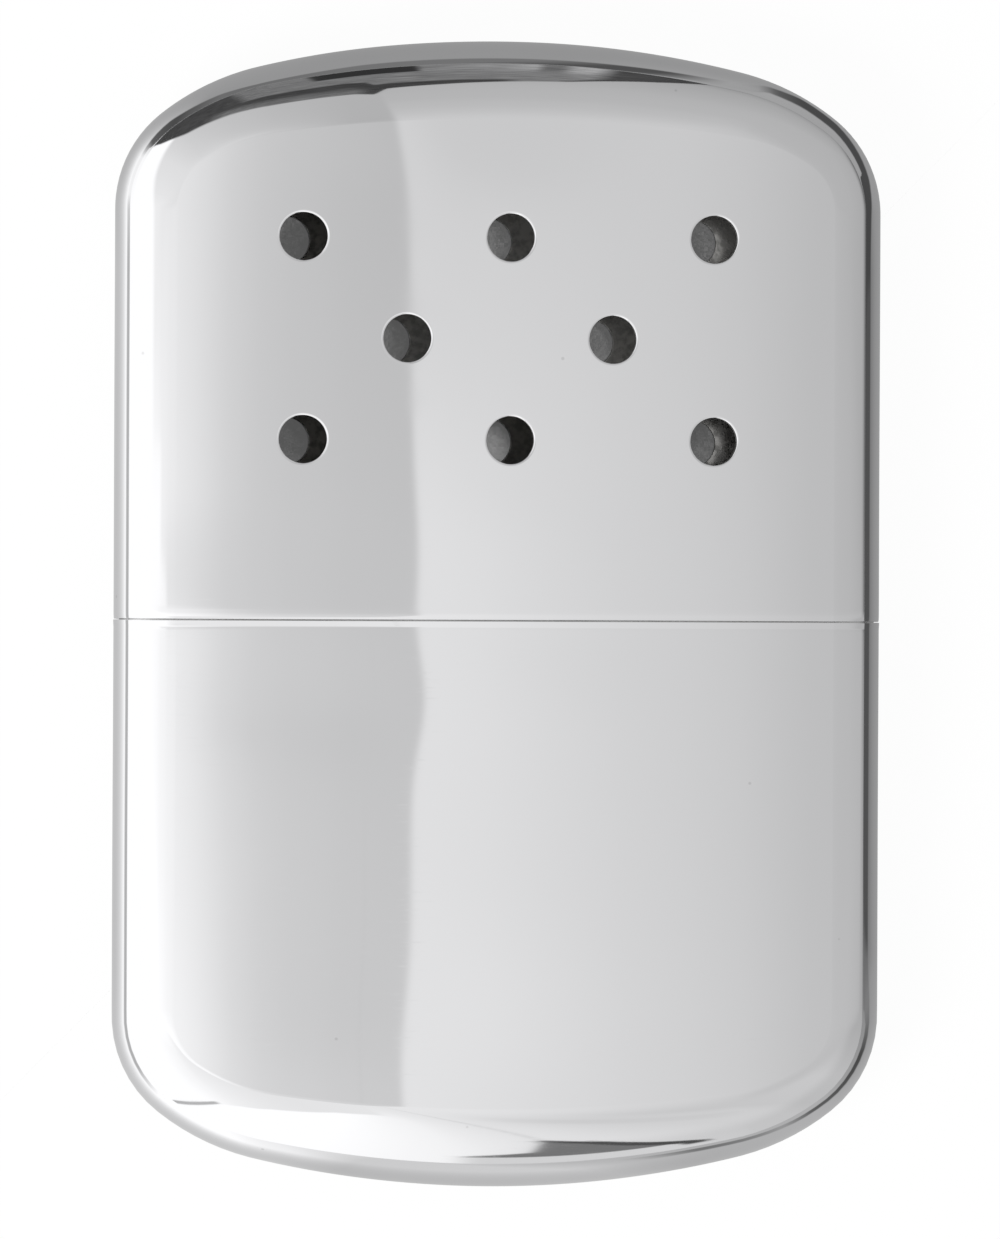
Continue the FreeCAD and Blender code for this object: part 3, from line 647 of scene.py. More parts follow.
case = {
    "halfWidth": cadHigh.x,
    "halfThick": cadHigh.z / 2,
    "crownRadius": 190 * mm,
    "cornerRadius": 10.5 * mm,
    "cornerSweep": math.radians(51.8),
    "shoulderRadius": 21.5 * mm,
    "shoulderSweep": math.radians(24.7),
    "wall": 0.45 * mm,
    "mouthLip": 0.07 * mm,  # rounding of the sheet's outer edge at the mouth
    "ventLip": 0.20 * mm,  # a vent's outer edge is pressed in so wide
    "ventDrop": 0.08 * mm,  # and so deep
    "innerLip": 0.05 * mm,  # rounding of every edge on the inner face
    "lipSteps": (5, 4),
    "mouthPush": 0.045 * mm,  # how far each half reaches into the seam's gap
    "rimSteps": 22,
    "sideSteps": 6,
    "rimRounds": 12,  # how often the rim's radius is worked out again until it has settled
    "rimBlur": 2.5 * mm,  # how far that radius is evened out along the outline
    "crowding": 2.2,  # the power by which rows crowd together at the mouth
    "mouthRows": 20,  # rows from the lid's mouth to its first vents
    "tankRows": 60,
    "tankColumns": 61,
    "tankReach": 36 * mm,  # how far those rows go
}


def faceHeight(x):
    # Height of a face over the mid-plane: half the thickness, less the sag of the crown's circle.
    radius = case["crownRadius"]
    return case["halfThick"] - radius + np.sqrt(radius ** 2 - x ** 2)


def faceNormal(x):
    # Straight away from the middle of the crown's circle.
    lean = x / case["crownRadius"]
    return np.stack([lean, np.zeros_like(x), np.sqrt(1 - lean ** 2)], -1)


def drawOutline(reach):
    # Half of the case in plan, by the distance along it from the right end of the mouth: straight,
    # corner arc, shoulder arc and end arc, each tangent to the next, then the same mirrored.
    corner, shoulder = case["cornerRadius"], case["shoulderRadius"]
    firstTurn = case["cornerSweep"]
    secondTurn = firstTurn + case["shoulderSweep"]
    cornerX = case["halfWidth"] - corner
    shoulderX = cornerX - (shoulder - corner) * math.cos(firstTurn)
    shoulderDrop = (shoulder - corner) * math.sin(firstTurn)
    endRadius = shoulder + shoulderX / math.cos(secondTurn)
    endDrop = shoulderDrop + (endRadius - shoulder) * math.sin(secondTurn)
    straight = reach - (endRadius - endDrop)
    centres = np.array([[cornerX, straight], [shoulderX, straight - shoulderDrop], [0, straight - endDrop]])
    radii = np.array([corner, shoulder, endRadius])
    starts = np.array([0, firstTurn, secondTurn])
    joins = straight + np.cumsum([0, *(radii * np.diff([*starts, math.pi / 2]))])
    full = joins[3] * 2

    def follow(s):
        left = s > full / 2
        t = np.where(left, full - s, s)
        arc = np.clip(np.searchsorted(joins, t, side="right") - 1, 0, 2)
        angle = np.where(t > straight, starts[arc] + (t - joins[arc]) / radii[arc], 0)
        normal = np.stack([np.cos(angle), np.sin(angle)], -1)
        side = np.stack([np.full_like(t, case["halfWidth"]), t], -1)
        point = np.where((t > straight)[..., None], centres[arc] + radii[arc][..., None] * normal, side)
        mirror = np.stack([np.where(left, -1.0, 1.0), np.ones_like(t)], -1)
        bend = np.where(t > straight, 1 / radii[arc], 0)
        return point * mirror, normal * mirror, bend

    return follow, full


def rimTable(follow, full):
    # The rim's radius r at each distance: as tall as the face where the two meet, so r is the face's
    # height at r inside the outline. Repeating that settles it, and a bell-shaped mean evens it out.
    step = 0.1 * mm
    s = np.arange(0, full + step, step)
    point, normal = follow(np.clip(s, 0, full))[:2]
    radius = np.full_like(s, case["halfThick"])
    for _ in range(case["rimRounds"]):
        radius = faceHeight(point[:, 0] - radius * normal[:, 0])
    reach = int(3 * case["rimBlur"] / step)
    bell = np.exp(-0.5 * (np.arange(-reach, reach + 1) * step / case["rimBlur"]) ** 2)
    radius = np.convolve(np.pad(radius, reach, mode="edge"), bell / bell.sum(), "valid")
    return s, radius, np.gradient(radius, s)


def rimSkin(follow, table, s, lift):
    # A quarter round: at lift 0 it stands on the outline, upright, and at a quarter turn it meets the
    # face. q = P - r(1 - cos lift) n in plan, height = faceHeight(q) sin lift. The normal is the cross
    # product of the two slopes.
    point, normal, bend = follow(s)
    radius = np.interp(s, table[0], table[1])
    growth = np.interp(s, table[0], table[2])
    tangent = np.stack([-normal[..., 1], normal[..., 0]], -1)
    inward = (radius * (1 - np.cos(lift)))[..., None]
    plan = point - inward * normal
    height = faceHeight(plan[..., 0])
    slope = -plan[..., 0] / np.sqrt(case["crownRadius"] ** 2 - plan[..., 0] ** 2)
    upPlan = -(radius * np.sin(lift))[..., None] * normal
    upHeight = height * np.cos(lift) + slope * upPlan[..., 0] * np.sin(lift)
    alongPlan = tangent * (1 - inward * bend[..., None]) - (growth * (1 - np.cos(lift)))[..., None] * normal
    alongHeight = slope * alongPlan[..., 0] * np.sin(lift)
    up = np.concatenate([upPlan, upHeight[..., None]], -1)
    along = np.concatenate([alongPlan, alongHeight[..., None]], -1)
    facing = np.cross(along, up)
    facing /= np.linalg.norm(facing, axis=-1, keepdims=True)
    return np.concatenate([plan, (height * np.sin(lift))[..., None]], -1), facing


def leave(base, normal, depth, turn, towards, swell):
    # Leaves the drawn skin along its normal: out by the swell, which fades to nothing at the inner
    # face, and in by the depth. The normal leans against the swell's slope, then turns by the angle.
    share = 1 - depth / case["wall"]
    step = 0.01 * mm
    slopes = [(swell(base + offset) - swell(base - offset)) / (2 * step) for offset in np.eye(3) * step]
    slope = np.stack(slopes, -1) * share[..., None]
    slope -= (slope * normal).sum(-1, keepdims=True) * normal
    leant = normal - slope
    leant /= np.linalg.norm(leant, axis=-1, keepdims=True)
    point = base + normal * (swell(base) * share - depth)[..., None]
    facing = leant * np.cos(turn)[..., None] + towards * np.sin(turn)[..., None]
    return point, facing / np.linalg.norm(facing, axis=-1, keepdims=True)


def lipProfile(wide, drop):
    # Round the sheet's edge, from the outer face to the inner one, as distance from the edge's tip,
    # depth under the outer face and turn of the normal: a quarter of an ellipse, so wide and so deep,
    # then a flat and a quarter round.
    inner = case["innerLip"]
    firstSteps, secondSteps = case["lipSteps"]
    first = np.linspace(0, math.pi / 2, firstSteps)[1:]
    second = np.linspace(math.pi / 2, math.pi, secondSteps)[:-1]
    tip = np.concatenate([wide * (1 - np.sin(first)), inner * (1 - np.sin(second))])
    depth = np.concatenate([drop * (1 - np.cos(first)), case["wall"] - inner * (1 + np.cos(second))])
    turn = np.arctan2(drop * np.sin(first), wide * np.cos(first))
    return tip, depth, np.concatenate([turn, second])


def roundSheet(face, lip, end):
    # Values over the sheet: 0 on the outer face, those of the lip, and the end's on the inner face.
    return np.concatenate([np.zeros(len(face)), lip, np.full(len(face), end)])


def ventRings(half, radius, cells):
    # Rings of one vent: from its square patch to the circle, round the punched edge, through the
    # sheet and back out to the square on the inner face. Shares go from the square's 0 to 1.
    corner = np.arange(cells) / cells * 2 - 1
    edge = np.ones(cells)
    square = np.concatenate([np.stack(pair, -1) for pair in (
        (edge, corner), (-corner, edge), (-edge, -corner), (corner, -edge))]) * half
    around = (np.arange(4 * cells) / (4 * cells) - 0.125) * 2 * math.pi
    circle = np.stack([np.cos(around), np.sin(around)], -1)
    tip, depth, turn = lipProfile(case["ventLip"], case["ventDrop"])
    share = np.linspace(0, 1, vent["rings"])
    same = np.ones(len(share))
    sizes = radius + np.concatenate([same * case["ventLip"], tip, same * case["innerLip"]])
    shares = np.concatenate([share, np.ones(len(tip)), share[::-1]])
    depths = roundSheet(share, depth, case["wall"])
    turns = roundSheet(share, turn, math.pi)
    plan = square * (1 - shares)[:, None, None] + circle * (sizes * shares)[:, None, None]
    plan, circle = (np.concatenate([a, a[..., :1, :]], -2) for a in (plan, circle))
    return plan, circle, depths, turns


def makeHalf(name, mouth, direction, columns, rise, swell, vents, ventRadius, ventCells):
    # Three kinds of patch for the front and the same for the back: a middle rectangle, a strip from
    # there to the rim, and the rim. Each runs over the outer face, round the lip and over the inner.
    follow, full = drawOutline(cadHigh.y - mouth * direction)
    table = rimTable(follow, full)
    edge, far, wall = columns[-1], rise[-1], case["wall"]
    tip, lipDepth, lipTurn = lipProfile(case["mouthLip"], case["mouthLip"])
    back = np.concatenate([[case["innerLip"]], rise[1:]])
    rows = np.concatenate([rise[::-1], tip, back])
    rowDepth = roundSheet(rise, lipDepth, wall)
    rowTurn = roundSheet(rise, lipTurn, math.pi)
    top = columns[::-1][1:-1]
    topPath = far + (edge - top) / (2 * edge) * (full - 2 * far)

    # the outline of the strip and the rim, once round the sheet: the distance along the case's
    # outline, the place on the middle rectangle's border, the depth in the sheet and the turn
    def run(s, x, y, depth, turn):
        return np.stack(np.broadcast_arrays(s, x, y, depth, turn), -1)

    path = np.concatenate([
        run(rise, edge, rise, 0, 0),
        run(topPath, top, far, 0, 0),
        run(full - rise[::-1], -edge, rise[::-1], 0, 0),
        run(full - tip, -edge, tip, lipDepth, lipTurn),
        run(full - back, -edge, back, wall, math.pi),
        run(topPath[::-1], top[::-1], far, wall, math.pi),
        run(back[::-1], edge, back[::-1], wall, math.pi),
        run(tip[::-1], edge, tip[::-1], lipDepth[::-1], lipTurn[::-1]),
        run(rise[:1], edge, rise[:1], 0, 0),
    ])[:, None, :]
    s, innerX, innerY, pathDepth, pathTurn = (path[..., k] for k in range(5))
    point, normal = follow(s)[:2]
    radius = np.interp(s, table[0], table[1])
    meet = point - radius[..., None] * normal

    quilt = Quilt()
    toMouth = np.array([0, -1, 0])

    # a patch on the front, and the same mirrored on the back
    def lay(base, facing, depth, turn, towards, keep=None):
        shape = base.shape[:2]
        depth, turn = (np.broadcast_to(a, shape) for a in (depth, turn))
        for side in (1, -1):
            flip = np.array([1, 1, side])
            points, normals = leave(base * flip, facing * flip, depth, turn, towards, swell)
            points = points * [1, direction, 1] + [0, mouth, case["halfThick"]]
            quilt.add(points, normals * [1, direction, 1], depth / wall, keep)

    def onFace(x, y):
        return np.stack([x, y, faceHeight(x)], -1), faceNormal(x)

    lift = np.linspace(math.pi / 2, 0, case["rimSteps"] + 1)[None, :]
    grid = np.broadcast_arrays(s, lift)
    lay(*rimSkin(follow, table, *grid), pathDepth, pathTurn, toMouth)
    share = np.linspace(0, 1, case["sideSteps"] + 1)[None, :]
    x = innerX * (1 - share) + meet[..., 0] * share
    y = innerY * (1 - share) + meet[..., 1] * share
    lay(*onFace(x, y), pathDepth, pathTurn, toMouth)

    keep = np.ones((len(rows) - 1, len(columns) - 1), bool)
    halfVent = ventCells * 0.5 * (columns[1] - columns[0])
    for centreX, centreY in vents:
        midX = (columns[1:] + columns[:-1]) / 2
        midY = (rows[1:] + rows[:-1]) / 2
        keep &= ~((abs(midY - centreY) < halfVent)[:, None] & (abs(midX - centreX) < halfVent)[None, :])
        plan, circle, depth, turn = ventRings(halfVent, ventRadius, ventCells)
        towards = np.concatenate([-circle, np.zeros((len(circle), 1))], -1)
        base, facing = onFace(plan[..., 0] + centreX, plan[..., 1] + centreY)
        lay(base, facing, depth[:, None], turn[:, None], towards)
    y, x = np.meshgrid(rows, columns, indexing="ij")
    lay(*onFace(x, y), rowDepth[:, None], rowTurn[:, None], toMouth, keep)
    return quilt.sew(name)


def steps(stops, counts):
    # Evenly spaced values between stops, so many to each gap.
    gaps = [np.linspace(a, b, count, endpoint=False) for a, b, count in zip(stops, stops[1:], counts)]
    return np.concatenate([*gaps, stops[-1:]])


def easedSteps(start, end, count, power):
    # Values from start to end that crowd together at the start, by a power of their share.
    return start + (end - start) * np.linspace(0, 1, count + 1) ** power


pressed = {
    "waveHeight": 0.014 * mm,  # unevenness of the pressed sheet
    "waveLengths": (23 * mm, 31 * mm, 41 * mm),
    "waveBearings": (0.4, 1.75, 2.6),
    "waveDepth": 6 * mm,  # the distance through the case that shifts them by one radian
    "lidPhase": 2.0,
    "tankPhase": 5.0,
    "twistMiddle": -7.6 * mm,  # slight twists of the sheet about a line along the case
    "twistReach": 12 * mm,
    "lidTwists": [(-0.011, 47 * mm, 7 * mm), (0.002, 6 * mm, 6 * mm)],  # slope, place from the mouth, reach
    "tankTwists": [(0.006, 7 * mm, 5 * mm), (-0.006, 39 * mm, 8 * mm)],
    "lidRoll": 0.03 * mm,  # how far the lid's edge is drawn in
    "lidRollReach": 1.5 * mm,
    "tankFlare": 0.034 * mm,  # how far the tank's edge is opened
    "tankFlareReach": 0.6 * mm,
    "tankGroove": 0.001 * mm,
    "tankGrooveWidth": 0.1 * mm,
}


def waves(point, phase):
    # Three long sine waves in different directions, which also change through the thickness.
    total = 0
    depth = pressed["waveDepth"]
    for length, bearing in zip(pressed["waveLengths"], pressed["waveBearings"]):
        across = point[..., 0] * math.cos(bearing) + point[..., 1] * math.sin(bearing)
        total = total + np.sin(2 * math.pi * across / length + phase * bearing + point[..., 2] / depth)
    return total * pressed["waveHeight"] / 3


def twist(point, twists):
    # A lean of the sheet about its line, bell-shaped both across the line and along it.
    across = point[..., 0] - pressed["twistMiddle"]
    slope = sum(lean * np.exp(-((point[..., 1] - at) / reach) ** 2) for lean, at, reach in twists)
    return slope * across * np.exp(-(across / pressed["twistReach"]) ** 2)


def lidSwell(point):
    # Waves and twists, and a draw-in that grows as the sixth power towards the edge.
    share = np.clip(1 - point[..., 1] / pressed["lidRollReach"], 0, 1)
    even = waves(point, pressed["lidPhase"]) + twist(point, pressed["lidTwists"])
    return even - pressed["lidRoll"] * share ** 6


def tankSwell(point):
    # Waves and twists, and a flare that rises in a straight line over its reach, with a fine groove
    # at its foot.
    reach = pressed["tankFlareReach"]
    rise = pressed["tankFlare"] * np.clip(1 - point[..., 1] / reach, 0, 1)
    groove = pressed["tankGroove"] * np.exp(-((point[..., 1] - reach) / pressed["tankGrooveWidth"]) ** 2)
    return waves(point, pressed["tankPhase"]) + twist(point, pressed["tankTwists"]) + rise - groove


vent = {
    "radius": 2.05 * mm,
    "firstRow": 14.9 * mm,
    "pitchAlong": 8.7 * mm,
    "pitchAcross": 17.85 * mm,
    "cells": 16,
    "half": 3.57 * mm,  # half of the square patch that holds a vent
    "gapCells": 3,
    "rings": 6,  # from the square to the vent
}


def makeLid():
    # Rows and columns run through the vents' patches and the gaps between them.
    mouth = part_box("lid_shell")[0].y - case["mouthPush"]
    half, gap, cells = vent["half"], vent["gapCells"], vent["cells"]
    rowsAt = [vent["firstRow"] - mouth + vent["pitchAlong"] * k for k in range(3)]
    middles = [vent["pitchAcross"] * k / 2 for k in range(-2, 3)]
    columns, bands = (
        steps(np.array([at + side for at in places for side in (-half, half)]),
              [cells, gap] * (len(places) - 1) + [cells]) for places in (middles, rowsAt))
    first = easedSteps(case["mouthLip"], bands[0], case["mouthRows"], case["crowding"])
    rise = np.concatenate([first[:-1], bands])
    vents = [(middles[k], rowsAt[row]) for row in range(3) for k in ((0, 2, 4), (1, 3), (0, 2, 4))[row]]
    return makeHalf("lid", mouth, 1, columns, rise, lidSwell, vents, vent["radius"], cells)


def makeTank():
    # The same as the lid, without vents. Its middle rectangle is as wide as the lid's.
    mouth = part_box("body_shell")[1].y + case["mouthPush"]
    columns = np.linspace(-1, 1, case["tankColumns"]) * (vent["pitchAcross"] + vent["half"])
    rise = easedSteps(case["mouthLip"], case["tankReach"], case["tankRows"], case["crowding"])
    return makeHalf("tank", mouth, -1, columns, rise, tankSwell, [], 0, 1)


plating = {
    "colour": (0.80, 0.80, 0.81),
    "roughness": 0.035,
    "wipeGrain": (60, 900, 60),  # fine marks of wiping
    "wipeTurn": (0, 0, 0.12),
    "wipeHeight": 0.5,
    "smearGrain": (40, 55, 40),
    "smearRoughness": 0.03,
    "pitGrain": (150, 150, 150),
    "pitColour": (0.3, 0.3, 0.3),
    "pitShare": 0.25,
    "pitDepth": 0.3,
    "bumpHeight": 0.02 * mm,
    "insideFrom": (0.3, 0.9),  # shares of the sheet's depth where the outer finish ends and the inner starts
    "insideColour": (0.62, 0.61, 0.59),
    "insideRoughness": 0.10,
    "insideDull": 0.5,
    "stainGrain": (900, 900, 900),
    "stainShade": 0.6,
    "stainRoughness": 0.12,
}


def makePlating(name, brushed):
    # Bright plating: fine wipe marks, smears and a few pits outside, half dull and stained inside.
    material, board = newMaterial(name)
    inside = board.node("Attribute", {"attribute_name": "inside"}, output="Fac")
    inside = board.between(inside, *plating["insideFrom"])
    wipe = board.noise(board.objectPlace(plating["wipeGrain"], plating["wipeTurn"]), 6, 3, 0.6)
    smear = board.noise(board.objectPlace(plating["smearGrain"]), 1.3, 3, 0.55)
    stain = board.noise(board.objectPlace(plating["stainGrain"]), 1.5, 3, 0.6)
    sockets = {"Vector": board.objectPlace(plating["pitGrain"]), "Scale": 1.0}
    pit = board.between(board.node("TexVoronoi", None, sockets, "Distance"), 0.03, 0.012)

    rough = plating["roughness"] + board.between(smear, 0.5, 0.75) * plating["smearRoughness"]
    rough = rough + board.between(wipe, 0.55, 0.8) * brushed
    insideRough = plating["insideRoughness"] + board.between(stain, 0.4, 0.7) * plating["stainRoughness"]
    stained = tuple(level * plating["stainShade"] for level in plating["insideColour"])
    insideColour = board.tint(board.between(stain, 0.4, 0.65), plating["insideColour"], stained)
    colour = board.tint(inside, plating["colour"], insideColour)
    colour = board.tint(pit * plating["pitShare"], colour, plating["pitColour"])
    height = wipe * plating["wipeHeight"] * brushed - pit * plating["pitDepth"]
    bump = board.node("Bump", None, {"Height": height, "Strength": 0.1, "Distance": plating["bumpHeight"]})
    board.principled(Base_Color=colour, Metallic=1.0 - inside * plating["insideDull"],
                     Roughness=board.blend(inside, rough, insideRough), Normal=bump)
    return material


lid = place(makeLid(), "lid", ["lid_shell"], "lid_plating", makePlating("bright_plating", 0.02))
tank = place(makeTank(), "tank", ["body_shell"], "tank_plating", makePlating("handled_plating", 0.06))
print("case ready:", len(lid.data.polygons) + len(tank.data.polygons), "faces")


# soft pieces: four layers of cotton in the tank, the felt in the neck and the mat in the burner

soft = {
    "around": 160,
    "rings": 20,
    # how far inside the case's outline each layer ends
    "layerInset": {
        "wadding_1": 3.3 * mm, "wadding_2": 1.3 * mm, "wadding_3": 1.3 * mm, "wadding_4": 3.3 * mm},
    "shellGap": 0.85 * mm,  # from the outer face of the case to the cotton
    "rimPoints": 400,
}
cottonShape = {"wear": 1.5 * mm, "edge": 1.3 * mm, "lump": 0.16 * mm, "lumpLength": 7 * mm}
feltShape = {"wear": 0.2 * mm, "edge": 0.5 * mm, "lump": 0.06 * mm, "lumpLength": 2 * mm}
matShape = {"wear": 0.2 * mm, "edge": 0.9 * mm, "lump": 0.12 * mm, "lumpLength": 3 * mm}


def evenLoop(corners, count, blur):
    # A closed line through the corners, cut into even steps and worn round by a bell-shaped mean.
    closed = np.concatenate([corners, corners[:1]])
    way = np.concatenate([[0], np.cumsum(np.linalg.norm(np.diff(closed, axis=0), axis=1))])
    stops = np.linspace(0, way[-1], count, endpoint=False)
    even = np.stack([np.interp(stops, way, closed[:, k]) for k in (0, 1)], -1)
    off = (np.arange(count) + count // 2) % count - count // 2
    bell = np.exp(-0.5 * (off * way[-1] / count / blur) ** 2)
    share = np.fft.fft(bell / bell.sum())[:, None]
    return np.fft.ifft(np.fft.fft(even, axis=0) * share, axis=0).real


def lumps(plan, length, seed):
    # Shallow hollows from 0 to 1: sine waves of four bearings, each crossed by the next.
    total = 0
    for k in range(4):
        bearing = seed + k * 0.9
        along = plan[..., 0] * math.cos(bearing) + plan[..., 1] * math.sin(bearing)
        across = plan[..., 1] * math.cos(bearing * 1.7) - plan[..., 0] * math.sin(bearing * 1.7)
        wave = np.sin(along / length * (2.2 + k) + seed)
        total = total + wave * np.cos(across / length * (1.6 + k * 1.3))
    return 0.5 + total / 8


def stuff(name, loop, low, high, shape, seed, roof=None, order=(0, 1, 2)):
    # A padded layer over a closed loop in plan. Inwards from the loop its two faces part along a
    # quarter circle as wide as the edge, then run on to the middle with lumps in them, under the roof
    # where there is one. The order says which axes the plan's two and the thickness are laid on.
    centre = loop.mean(0)
    share = (np.linspace(0, 1, soft["rings"]) ** 2)[:, None, None]
    ring = np.concatenate([loop, loop[:1]])[None]
    plan = ring * (1 - share) + centre * share
    away = np.linalg.norm(plan[..., None, :] - loop, axis=-1).min(-1)
    swell = np.sqrt(1 - (1 - np.clip(away / shape["edge"], 0, 1)) ** 2)
    clear = roof(plan, away) if roof else np.full(away.shape, math.inf)
    top, bottom = np.minimum(high, clear), np.maximum(low, -clear)
    middle = (top + bottom) / 2
    half = np.clip((top - bottom) / 2, 0, None)
    outward = (plan - centre) / (np.linalg.norm(plan - centre, axis=-1, keepdims=True) + mm)
    quilt = Quilt()
    for side in (1, -1):
        hollow = shape["lump"] * lumps(plan, shape["lumpLength"], seed + side)
        rise = np.clip(half - hollow, 0, None)
        height = middle + side * rise * swell
        facing = np.concatenate([outward * (1 - swell)[..., None], (side * swell)[..., None]], -1)
        points = np.concatenate([plan, height[..., None]], -1)
        quilt.add(points[..., order], facing[..., order], np.zeros(away.shape))
    return quilt.sew(name, exact=False)


def makeCotton(name, node, seed):
    # One layer of cotton: the case's outline set in, closed by a straight line under the deck.
    low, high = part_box(node)
    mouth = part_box("body_shell")[1].y
    inset = soft["layerInset"][node]
    follow, full = drawOutline(cadHigh.y + mouth)
    start = mouth - high.y
    point, normal = follow(np.linspace(start, full - start, soft["rimPoints"]))[:2]
    rim = (point - inset * normal) * [1, -1] + [0, mouth]
    loop = evenLoop(rim, soft["around"], cottonShape["wear"])
    middle = case["halfThick"]

    def roof(plan, away):
        # the inside of the case: a quarter round at its rim, then as high as its face
        radius = faceHeight(plan[..., 0]) - soft["shellGap"]
        over = np.clip(inset - soft["shellGap"] + away, 0, radius)
        return np.sqrt(radius ** 2 - (radius - over) ** 2)

    mesh = stuff(name, loop, low.z - middle, high.z - middle, cottonShape, seed, roof)
    mesh.transform(Matrix.Translation((0, 0, middle)))
    return mesh


fibres = {
    "hairStretch": (1, 0.14, 1),
    "hairTurn": (0.3, 0.2, 0.7),
    "strandStretch": (0.12, 1, 1),
    "strandTurn": (0.1, 0.4, -0.4),
    "cloudGrain": (260, 260, 260),
    "speckGrain": (2600, 2600, 2600),
    "speckColour": (0.06, 0.06, 0.06),
    "roughness": 0.95,
    "sheen": 0.3,
}


def makeCover(name, colour, deepColour, fibre, bumpHeight, speck=0.0):
    # Matted fibre: short hairs drawn out of two stretched noises, and darker specks where asked.
    material, board = newMaterial(name)
    hairs, strands = (
        board.noise(board.objectPlace(tuple(fibre * k for k in fibres[stretch]), fibres[turn]), 1.0, 4, 0.6)
        for stretch, turn in (("hairStretch", "hairTurn"), ("strandStretch", "strandTurn")))
    clouds = board.noise(board.objectPlace(fibres["cloudGrain"]), 1.0, 3, 0.5)
    fluff = board.maths("MAXIMUM", hairs, strands)
    colour = board.tint(board.between(fluff, 0.35, 0.75), deepColour, colour)
    colour = board.tint(board.between(clouds, 0.45, 0.8) * 0.35, colour, deepColour)
    if speck:
        spots = board.noise(board.objectPlace(fibres["speckGrain"]), 1.0, 2, 0.5)
        colour = board.tint(board.between(spots, 0.6, 0.72) * speck, colour, fibres["speckColour"])
    height = fluff + clouds * 0.5
    bump = board.node("Bump", None, {"Height": height, "Strength": 0.8, "Distance": bumpHeight})
    board.principled(Base_Color=colour, Roughness=fibres["roughness"],
                     Sheen_Weight=fibres["sheen"], Normal=bump)
    return material


cottonLook = makeCover("cotton_batting", (0.86, 0.85, 0.81), (0.66, 0.64, 0.59), 4200, 0.12 * mm)
for index in range(1, 5):
    node = f"wadding_{index}"
    layer = makeCotton(f"cotton_{index}", node, index * 1.3)
    piece = place(layer, "tank", [node], "cotton_wadding", cottonLook)


def makeFelt():
    # The plug of felt: an oval loop across the neck, thick along the case.
    low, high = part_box("neck_felt")
    inset = 0.05 * mm
    half = (high.z - low.z) / 2 - inset
    straight = high.x - inset - half
    turn = np.linspace(-math.pi / 2, math.pi / 2, 40)
    right = np.stack([straight + half * np.cos(turn), half * np.sin(turn)], -1)
    corners = np.concatenate([right, -right]) + [0, (low.z + high.z) / 2]
    loop = evenLoop(corners, 96, feltShape["wear"])
    return stuff("felt_plug", loop, low.y, high.y, feltShape, 2.0, order=(0, 2, 1))


def makeMat():
    # The mat of glass fibre: a rounded rectangle in plan that fills the housing.
    low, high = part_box("catalyst_mat")
    corner = 1.2 * mm
    x, y = high.x - corner, (high.y - low.y) / 2 - corner
    turn = np.linspace(0, 2 * math.pi, 80, endpoint=False)
    arc = np.stack([np.cos(turn), np.sin(turn)], -1)
    corners = arc * corner + np.sign(arc) * [x, y] + [0, (low.y + high.y) / 2]
    loop = evenLoop(corners, 120, matShape["wear"])
    return stuff("fibre_mat", loop, low.z, high.z, matShape, 4.0)


feltLook = makeCover("pressed_felt", (0.84, 0.82, 0.77), (0.62, 0.60, 0.55), 6500, 0.05 * mm)
felt = place(makeFelt(), "tank", ["neck_felt"], "wick_felt", feltLook)
matLook = makeCover("catalyst_fibre", (0.46, 0.45, 0.43), (0.27, 0.26, 0.25), 5200, 0.08 * mm, speck=0.7)
mat = place(makeMat(), "burner", ["catalyst_mat"], "catalyst_fibre", matLook)
print("soft pieces ready")


# gauzes: plain-woven wire over the burner's floor and behind its slots

gauze = {
    "wire": 0.056 * mm,  # radius
    "pitch": 0.6 * mm,
    "sides": 5,
}


def weave(name, corner, along, across, up, length, width):
    # Wires both ways. Each rides over and under the crossing ones as a cosine of its place, and its
    # neighbour the other way round. A wire is a ring carried along that path, closed at both ends.
    pitch, radius, sides = gauze["pitch"], gauze["wire"], gauze["sides"]
    turn = np.arange(sides) / sides * 2 * math.pi
    points, quads, caps = [], [], []
    count = 0
    for first, second, reach, breadth, sign in (
            (along, across, length, width, 1), (across, along, width, length, -1)):
        cells = int(reach / pitch)
        wires = int(breadth / pitch) + 1
        start = (reach - cells * pitch) / 2
        margin = (breadth - (wires - 1) * pitch) / 2
        step = np.arange(2 * cells + 1) / 2
        wire = np.arange(wires)[:, None, None]
        ride = sign * radius * np.cos(math.pi * (step[None, :, None] + wire))
        go = np.clip(start + step * pitch, 0, reach)[None, :, None]
        side = margin + wire * pitch + radius * np.cos(turn) + 0 * go
        lift = ride + radius * np.sin(turn)
        made = corner + go[..., None] * first + side[..., None] * second + lift[..., None] * up
        shape = (wires, len(step), sides)
        index = np.arange(np.prod(shape)).reshape(shape) + count
        turned = np.roll(index, -1, axis=2)
        skins = np.stack([index[:, :-1], turned[:, :-1], turned[:, 1:], index[:, 1:]], -1)
        quads.append(skins.reshape(-1, 4))
        caps += [index[:, 0, ::-1], index[:, -1]]
        points.append(np.broadcast_to(made, (*shape, 3)).reshape(-1, 3))
        count += int(np.prod(shape))
    mesh = bpy.data.meshes.new(name)
    faces = np.concatenate(quads).tolist() + np.concatenate(caps).tolist()
    mesh.from_pydata(np.concatenate(points), [], faces)
    mesh.polygons.foreach_set("use_smooth", np.ones(len(faces), bool))
    mesh.update()
    return mesh


def makeGauze(name, node, thin):
    # Fills the node's box, thin along the given axis.
    low, high = (np.array(corner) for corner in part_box(node))
    flat = [k for k in range(3) if k != thin]
    size = high - low
    corner = low.copy()
    corner[thin] = (low[thin] + high[thin]) / 2
    axes = np.eye(3)
    return weave(name, corner, axes[flat[0]], axes[flat[1]], axes[thin], size[flat[0]], size[flat[1]])


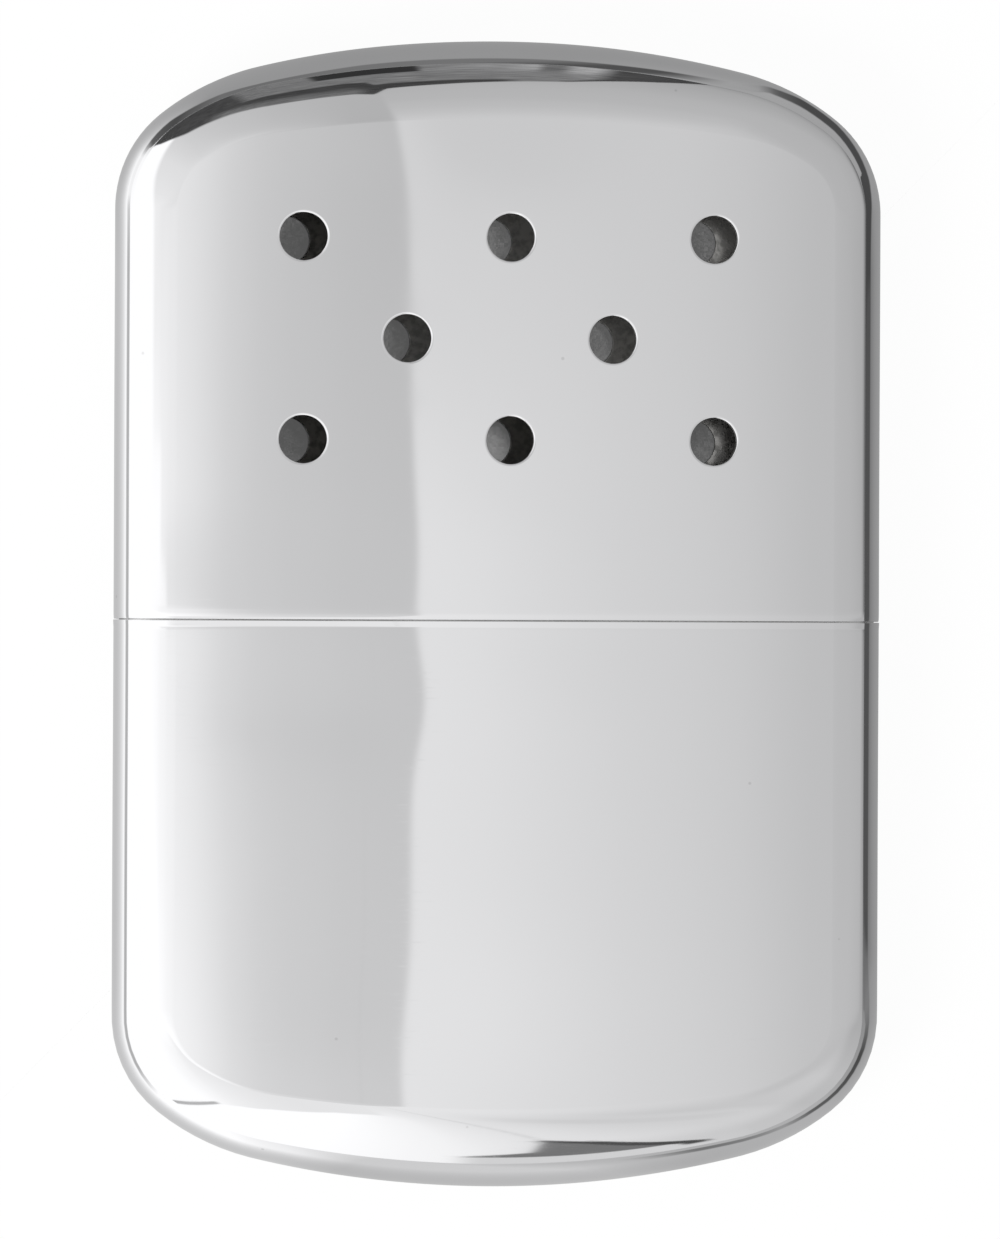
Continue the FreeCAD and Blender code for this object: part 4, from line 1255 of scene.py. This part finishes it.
rubbed = {
    "cloudGrain": (170, 170, 170),
    "darkShade": 0.78,
    "wornShare": 0.3,
    "wornRoughness": 0.12,
    "lineRoughness": 0.08,
}


def makeSteel(name, colour, roughness, grain, depth, tintColour=None, tintShare=0.0):
    # Rubbed sheet: fine lines along its grain, cloudy wear, and a warm tint in patches where asked.
    material, board = newMaterial(name)
    lines = board.noise(board.objectPlace(grain), 1.0, 4, 0.65)
    clouds = board.noise(board.objectPlace(rubbed["cloudGrain"]), 1.0, 3, 0.5)
    dark = tuple(level * rubbed["darkShade"] for level in colour)
    shade = board.tint(board.between(lines, 0.35, 0.7), dark, colour)
    shade = board.tint(board.between(clouds, 0.4, 0.75) * rubbed["wornShare"], shade, dark)
    if tintColour:
        shade = board.tint(board.between(clouds, 0.35, 0.65) * tintShare, shade, tintColour)
    rough = roughness + board.between(clouds, 0.3, 0.8) * rubbed["wornRoughness"]
    rough = rough + lines * rubbed["lineRoughness"]
    bump = board.node("Bump", None, {"Height": lines, "Strength": 0.5, "Distance": depth})
    board.principled(Base_Color=shade, Metallic=1.0, Roughness=rough, Normal=bump)
    return material


steels = {
    "collar_metal": makeSteel("rubbed_collar", (0.72, 0.72, 0.71), 0.2, (300, 5200, 300), 0.006 * mm),
    "deck_metal": makeSteel("satin_deck", (0.66, 0.66, 0.65), 0.3, (420, 5000, 5000), 0.008 * mm),
    "neck_metal": makeSteel("satin_neck", (0.70, 0.69, 0.67), 0.26, (4600, 380, 4600), 0.008 * mm),
    "burner_steel": makeSteel("burner_sheet", (0.56, 0.55, 0.53), 0.3, (420, 4600, 4600), 0.01 * mm,
                              (0.52, 0.43, 0.30), 0.5),
    "rivet_metal": makeSteel("rivet_steel", (0.62, 0.61, 0.59), 0.34, (2600, 2600, 2600), 0.012 * mm),
    "gauze_wire": makeSteel("woven_wire", (0.50, 0.49, 0.47), 0.36, (3000, 3000, 3000), 0.004 * mm,
                            (0.42, 0.36, 0.27), 0.4),
}
for name, node, thin in (("floor_mesh", "floor_gauze", 1), ("front_mesh", "gauze_front", 2),
                         ("rear_mesh", "gauze_back", 2)):
    place(makeGauze(name, node, thin), "burner", [node], "gauze_wire", steels["gauze_wire"])
for part in frame["record"]["subparts"]:
    if part["material_slot"] in steels:
        frame["nodes"][part["node"]].data.materials[0] = steels[part["material_slot"]]
print("burner and tank fittings ready")
